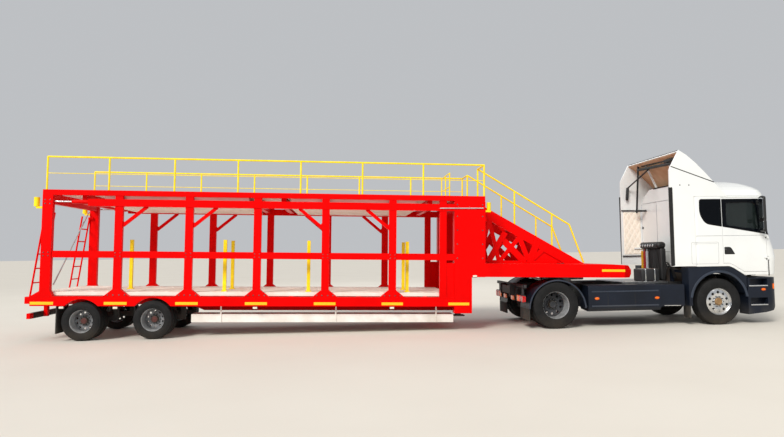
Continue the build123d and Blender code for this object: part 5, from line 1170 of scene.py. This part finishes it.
def makeTruckLamps():
    # headlamp: a bright bowl that wraps the bumper's corner under a clear cover; amber at its outer end
    look = truckLampPlan
    wrap = np.array(look["wrap"])
    outline = np.stack([look["nose"] + wrap[:, 0] + shiftX, -(halfWidth - wrap[:, 1])], -1)
    middle = outline.mean(0)
    bowl = plate(middle + (outline - middle) * look["bowlShare"], 2, *look["bowl"])
    cover = plate(outline, 2, *look["cover"])
    eyeX, eyeYs, eyeZ, eyeR = look["eyes"]
    eyes = [turnedAlong((eyeX + shiftX, -y, eyeZ), eyeR) for y in eyeYs]
    makePair("headlamp", {"chromeTrim": [bowl] + eyes, "amberLens": [lorryBlock(*look["amber"])],
                          "clearLens": [cover]}, "tractor", sharp=50)
    # the tail bar, the lamp carrier under it and its brackets; the lenses face the rear
    bar = [lorryBlock(*row) for row in look["bar"]]
    makePiece("tail_bar", {"chassisEnamel": bar}, "tractor", ("truck_lamps",))
    lenses = {"redLens": [], "amberLens": [], "clearLens": []}
    for low, high, top, kind in look["lenses"]:
        lenses[kind].append(lorryBlock((3.913, low, 0.582), (3.930, high, top), 0.008))
    lenses["redLens"].append(lorryBlock(*look["sideLens"]))
    boxes = [lorryBlock(*row) for row in look["boxes"]]
    makePair("tail_lamps", {"blackPlastic": boxes, **lenses}, "tractor")


def turnedAlong(centre, radius, count=32):
    # a shallow bowl turned about the lorry's length: its depth at radius r is 0.35 (R - r²/R)
    r = radius * np.linspace(0.02, 1, 8)
    angle = np.linspace(0, 2 * np.pi, count, endpoint=False)[:, None]
    depth = 0.35 * r * r / radius - 0.35 * radius
    x = np.broadcast_to(centre[0] + depth, (count, 8))
    points = np.stack([x, centre[1] + r * np.cos(angle), centre[2] + r * np.sin(angle)], -1)
    return gridForm(points, closeAlong=True)


# blocks: low and high corner, edge radius, and where it matters the axis they are drawn along and the steps
catwalkPlan = {
    "deck": (((6.350, -0.720, 0.930), (7.440, 0.720, 0.955), 0.004),
             ((6.350, -0.720, 0.905), (7.440, -0.720 + 0.006, 0.950), 0.002),
             ((6.350, 0.714, 0.905), (7.440, 0.714 + 0.006, 0.950), 0.002)),
    "stand": (((7.450, -0.415, 0.955), (7.600, 0.450, 1.720), 0.05, 0, 5),
              ((7.370, -0.440, 1.700), (7.600, 0.470, 1.860), 0.075, 0, 7)),
    "ribYs": (-0.38, -0.20, 0.02), "socketYs": (-0.24, -0.12, 0.0, 0.120, 0.240, 0.360),
    "pipeYs": (-0.33, -0.29, -0.10, 0.06), "hoses": ((-0.46, 1.40), (-0.50, 1.32), (-0.55, 1.24)),
    "box": ((6.860, -0.640, 0.955), (7.300, -0.240, 1.240), 0.03, 2, 5), "strapXs": (6.95, 7.17)}


def makeCatwalk():
    # tread-plate deck with folded edges, the black stand for the lines, the exhaust's box
    look = catwalkPlan
    deck = [lorryBlock(*row) for row in look["deck"]]
    stand = [lorryBlock(*row) for row in look["stand"]]
    stand += [lorryBlock((7.438, y, 1.00), (7.455, y + 0.03, 1.69), 0.006, 0) for y in look["ribYs"]]
    sockets = bolts(onLorry([[7.370, y, 1.775] for y in look["socketYs"]]), (-1, 0, 0), 0.030, 0.018, 24)
    # clipped lines that weave down the tower by a sine of height and place
    pipes = []
    for y in look["pipeYs"]:
        line = [[7.425 + 0.006 * math.sin(z * 9 + y * 20), y, z] for z in np.linspace(0.96, 1.71, 30)]
        pipes.append(tube(onLorry(line), 0.010, 10))
    # hoses that bow from the tower to the engine: (1-s)²a + 2s(1-s)p + s²c
    s = np.linspace(0, 1, 26)[:, None]
    for y, rise in look["hoses"]:
        a, p = np.array([7.50, y + 0.08, 0.98]), np.array([7.52, y - 0.04, rise + 0.35])
        c = np.array([7.74, y, 1.02])
        pipes.append(tube(onLorry((1 - s) ** 2 * a + 2 * s * (1 - s) * p + s * s * c), 0.016, 12))
    straps = [lorryBlock((x, -0.644, 0.953), (x + 0.035, -0.236, 1.244), 0.03, 2, 5) for x in look["strapXs"]]
    parts = {"treadPlate": deck, "blackPlastic": stand, "polishedAluminium": sockets + straps,
             "blackRubber": pipes, "chassisEnamel": [lorryBlock(*look["box"])]}
    makePiece("catwalk_deck", parts, "tractor", ("catwalk",))


makeLowerTrim()
makeTruckLamps()
makeCatwalk()
print("lower trim, lamps and catwalk made")


tapePlan = {"centres": (-6.036, -4.590, -3.168, -1.757, -0.335, 1.088, 2.513), "half": 0.226, "low": -0.256,
            "high": -0.198, "neck": (5.677, 6.200, 0.478, 0.528), "proud": (-1.2535, -1.2495)}
trailerLampPlan = {
    "box": ((-6.388, -1.185, -0.238), (-6.362, -0.775, -0.102), 0.010),
    "lenses": ((-1.176, "amberLens"), (-1.078, "redLens"), (-0.980, "redLens"), (-0.882, "clearLens")),
    "sides": ((-5.678, 0.690), (-4.618, 0.662), (-1.801, 0.598), (1.055, 0.535), (2.851, 1.170))}
postXs = (-4.580, -3.160, -1.757, -0.335, 1.088)
# each group of bolts: x, x offsets, y, heights, head radius and height
boltPlan = [group for x in postXs for group in (
    (x, (-0.17, -0.06, 0.06, 0.17), -1.250, (-0.055,), 0.014, 0.011),
    (x, (-0.05, 0.05), -1.240, (0.735, 0.805), 0.011, 0.009))]
boltPlan += [(x, (0,), -1.250, (0.75, 1.05, 1.35, 1.65, 1.90), 0.014, 0.011) for x in (2.48, 3.03)]
boltPlan += [(x, (0,), -1.250, (0.735, 0.805, 1.80, 1.88), 0.013, 0.010) for x in (-6.04, -5.945)]
beadPlan = {"postZs": (0.694, 0.846, 1.756), "columnXs": (2.42, 3.09), "ripple": 0.0008}


def makeTrailerTrim():
    # reflecting tape on the side beams and the neck, with a faint painted glow
    near, far = tapePlan["proud"]
    spans = [(x - tapePlan["half"], x + tapePlan["half"], tapePlan["low"], tapePlan["high"])
             for x in tapePlan["centres"]] + [tapePlan["neck"]]
    tapes = [block((x0, near, z0), (x1, far, z1), 0.0015, up=1) for x0, x1, z0, z1 in spans]
    makePair("reflector_tape", {"yellowTapePaintedGlow": onFrame(tapes)}, "trailer", ("trailer_lamps",))
    # tail lamps: a black box each, with red, amber and clear lenses in a row
    parts = {"blackPlastic": [block(*trailerLampPlan["box"])],
             "redLens": [], "amberLens": [], "clearLens": []}
    for low, kind in trailerLampPlan["lenses"]:
        parts[kind].append(block((-6.399, low, -0.228), (-6.384, low + 0.09, -0.112), 0.008))
    parts = {name: onFrame(group) for name, group in parts.items()}
    makePair("trailer_tail_lamps", parts, "trailer")
    # small pale side lamps under the beams, each on a black foot
    feet, pale = [], []
    for x, z in trailerLampPlan["sides"]:
        feet.append(lorryBlock((x - 0.055, -1.244, z - 0.030), (x + 0.055, -1.205, z + 0.028), 0.008))
        pale.append(lorryBlock((x - 0.045, -1.256, z - 0.022), (x + 0.045, -1.238, z + 0.020), 0.007))
    makePair("trailer_side_lamps", {"blackPlastic": feet, "paleLens": pale}, "trailer")
    # bolted feet and rails of the posts, bolts on the columns
    heads = []
    for x, offsets, y, heights, radius, height in boltPlan:
        places = onTrailer([[x + dx, y, z] for dx in offsets for z in heights])
        heads += bolts(places, (0, -1, 0), radius, height)
    makePair("frame_bolts", {"greasedSteel": heads}, "trailer")
    # weld beads: a round bead that ripples out by a sine of its length, along the posts' joints and up the
    # columns
    beads = []
    for x in postXs:
        for z in beadPlan["postZs"]:
            along = np.linspace(x - 0.08, x + 0.08, 40)
            out = np.full(40, -1.2405) - beadPlan["ripple"] * np.sin(along * 900)
            beads.append(tube(onTrailer(np.stack([along, out, np.full(40, z)], -1)), 0.0045, 8))
    for x in beadPlan["columnXs"]:
        along = np.linspace(0.66, 1.96, 120)
        out = np.full(120, -1.249) - beadPlan["ripple"] * np.sin(along * 900)
        beads.append(tube(onTrailer(np.stack([np.full(120, x), out, along], -1)), 0.005, 8))
    makePair("weld_beads", {"redEnamel": beads}, "trailer", sharp=80)


stairWeb = {"near": -0.612, "thick": 0.024, "far": 0.560, "panelThick": 0.008,
            "struts": (((3.300, 0.655), (3.700, 1.340), 0.135), ((3.660, 1.150), (4.160, 0.655), 0.150),
                       ((4.245, 0.655), (4.470, 1.190), 0.150)),
            "panel": ((4.290, 0.650), (4.330, 0.900), (4.620, 1.120), (4.900, 0.940), (5.330, 0.700),
                      (5.400, 0.650))}


def makeStairWeb():
    # wide flat struts on the near and far faces of the stair's truss, and the plate that closes its foot
    forms = []
    for (x0, z0), (x1, z1), width in stairWeb["struts"]:
        along = np.array([x1 - x0, z1 - z0]) / math.hypot(x1 - x0, z1 - z0)
        aside = np.array([-along[1], along[0]]) * width / 2
        a, b = np.array([x0, z0]), np.array([x1, z1])
        for y in (stairWeb["near"], -stairWeb["near"] - stairWeb["thick"]):
            corners = [a - aside, b - aside, b + aside, a + aside]
            forms.append(plate(corners, 1, y, y + stairWeb["thick"], 0.004))
    for y in (stairWeb["far"], -stairWeb["far"] - stairWeb["panelThick"]):
        forms.append(plate(stairWeb["panel"], 1, y, y + stairWeb["panelThick"], 0.002))
    makePiece("stair_web", {"redEnamel": onFrame(forms)}, "trailer")


# bars: start, end, points along, radius, points around; rod and barrel: the same along a ram, with x alone
stayPlan = {"tieRod": ((-5.860, -1.150, 0.15), (-6.115, 1.150, 1.78), 20, 0.015, 10),
            "ramYs": (-1.200, 1.200), "ramZ": 1.85,
            "rod": (-5.860, -5.480, 6, 0.016, 14), "barrel": (-5.500, -5.200, 6, 0.042, 20),
            "frontRod": ((2.110, -1.264, 1.816), (3.040, -1.264, 1.830), 12, 0.013, 10),
            # the guard bar's black band of painted shadow: low and high corner, edge radius
            "shadowBand": ((-6.393, -0.960, -0.563), (-6.317, 0.960, -0.447), 0.008)}


def trailerBar(start, end, count, radius, around):
    # a straight round bar in the level trailer's metres, cut into count points
    return tube(onTrailer(np.linspace(start, end, count)), radius, around)


def makeStays():
    # one tie rod between the rear posts, a red ram with its bright rod under the upper floor on each side,
    # a rod beside the columns, and a black band round the guard bar that is painted shade, standing in for the
    # shadow under the body
    look = stayPlan
    rods, barrels = [trailerBar(*look["tieRod"])], []
    for y in look["ramYs"]:
        for forms, (x0, x1, *rest) in ((rods, look["rod"]), (barrels, look["barrel"])):
            forms.append(trailerBar((x0, y, look["ramZ"]), (x1, y, look["ramZ"]), *rest))
    rods.append(trailerBar(*look["frontRod"]))
    makePiece("stay_rods", {"brightSteel": rods, "redEnamel": barrels}, "trailer", ("stays",))
    # painted shade: the black band stands in for the shadow on the guard bar under the body
    makePiece("guard_shadowBand", {"blackPlastic": onFrame([block(*look["shadowBand"])])}, "trailer")


# ribs: where they start and end, their height, and the two wheel tracks they cross
ribPlan = {"pitch": 0.30, "width": 0.05, "edge": 0.004,
           "floor_ribs": (-6.05, 2.25, -0.002, 0.006, ((-1.05, -0.55), (0.55, 1.05))),
           "upper_floor_ribs": (-5.75, 2.30, 2.038, 2.046, ((-1.05, -0.50), (0.50, 1.05)))}


def makeFloorDetails():
    # pressed ribs across the wheel tracks of both floors, in the floors' own enamel
    for name in ("floor_ribs", "upper_floor_ribs"):
        start, end, z0, z1, tracks = ribPlan[name]
        ribs = [block((x, y0, z0), (x + ribPlan["width"], y1, z1), ribPlan["edge"])
                for x in np.arange(start, end, ribPlan["pitch"]) for y0, y1 in tracks]
        makePiece(name, {"creamEnamel": onFrame(ribs)}, "trailer")


makeTrailerTrim()
makeStairWeb()
makeStays()
makeFloorDetails()
print("trailer trim and floors made")


# CAD nodes that keep their shape
nodeFinishes = {
    "redEnamel": ("side_frame_left", "side_frame_right", "trailer_frame", "gooseneck", "stairs_ladders",
                  "upper_frame"),
    "yellowEnamel": ("handrails", "stanchions"),
    "creamEnamel": ("lower_deck", "upper_deck"),
    "whiteLacquer": ("cab_shell", "door_left", "door_right", "side_fairings", "roof_deflector"),
    "navyLacquer": ("front_bumper", "truck_fenders", "side_skirts"),
    "chassisEnamel": ("chassis_frame", "front_axle", "drive_axle", "trailer_axles", "landing_legs"),
    "castIron": ("engine_block", "knuckle_left", "knuckle_right", "tie_rod"),
    "greasedSteel": ("fifth_wheel", "king_pin"),
    "blackPlastic": ("grille",),
    "tintedGlass": ("cab_glass", "door_glass_left", "door_glass_right"),
    "cabTrim": ("dashboard",),
    "blackRubber": ("trailer_flaps",),
    "rampEnamel": ("stowed_ramps",),
}
for finishName, names in nodeFinishes.items():
    for name in names:
        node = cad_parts[name]
        for holder in node.material_slots:
            holder.material = finishes[finishName]
print("nodes finished")


# floor and light
stage = {"floor": "#DED9CF", "shade": "#D5CFC4", "size": 400, "rough": 0.85, "sky": "#EEF1F5",
         "skyPower": 0.6}


def makeStage():
    # a wide flat sheet just under the tyres, whose shade drifts a little, and an even pale sky
    span = np.linspace(-stage["size"], stage["size"], 9)
    x, y = np.meshgrid(span, span)
    mesh = bpy.data.meshes.new("studioFloor")
    points, faces = gridForm(np.stack([x, y, np.full_like(x, -0.001)], -1))
    mesh.from_pydata(points.tolist(), [], faces)
    floor = bpy.data.objects.new("studioFloor", mesh)
    bpy.context.scene.collection.objects.link(floor)
    material, tree, shader = newMaterial("studioFloor", {"Roughness": stage["rough"]})
    place = addNode(tree, "ShaderNodeTexCoord").outputs["Object"]
    colour = mixed(tree, noise(tree, place, 0.4, 4), linear(stage["floor"]), linear(stage["shade"]))
    tree.links.new(colour, shader["Base Color"])
    mesh.materials.append(material)
    world = bpy.data.worlds.new("softSky")
    bpy.context.scene.world = world
    world.use_nodes = True
    background = world.node_tree.nodes["Background"].inputs
    background[0].default_value, background[1].default_value = linear(stage["sky"]), stage["skyPower"]


def makeLight(name, place, target, size, power, colour="#FFFFFF"):
    # a large soft panel that looks at its target, or, given an angle for its size, an even wash from that
    # direction
    data = bpy.data.lights.new(name, "AREA" if isinstance(size, tuple) else "SUN")
    if isinstance(size, tuple):
        data.shape = "RECTANGLE"
        data.size, data.size_y = size
    else:
        data.angle = math.radians(size)
    data.energy = power
    data.color = linear(colour)[:3]
    lamp = bpy.data.objects.new(name, data)
    bpy.context.scene.collection.objects.link(lamp)
    back = np.array(place, float) - np.array(target, float)
    back /= np.linalg.norm(back)
    right = np.cross([0, 0, 1.0], back)
    right /= np.linalg.norm(right)
    top = np.cross(back, right)
    lamp.matrix_world = asMatrix(right, top, back, place)


makeStage()
makeLight("keyWash", (-7, -10, 9), (0, 0, 0), 20, 2.7, "#FFFBF4")
makeLight("keyPanel", (9, -15, 11), (2, 0, 1.5), (9, 6), 500, "#FFF9F0")
makeLight("fillPanel", (-15, -11, 9), (-2, 0, 1.5), (8, 6), 300, "#F2F6FF")
makeLight("rimPanel", (-2, 16, 14), (0, 0, 1.5), (18, 7), 620)
bpy.context.scene.view_settings.view_transform = "Standard"
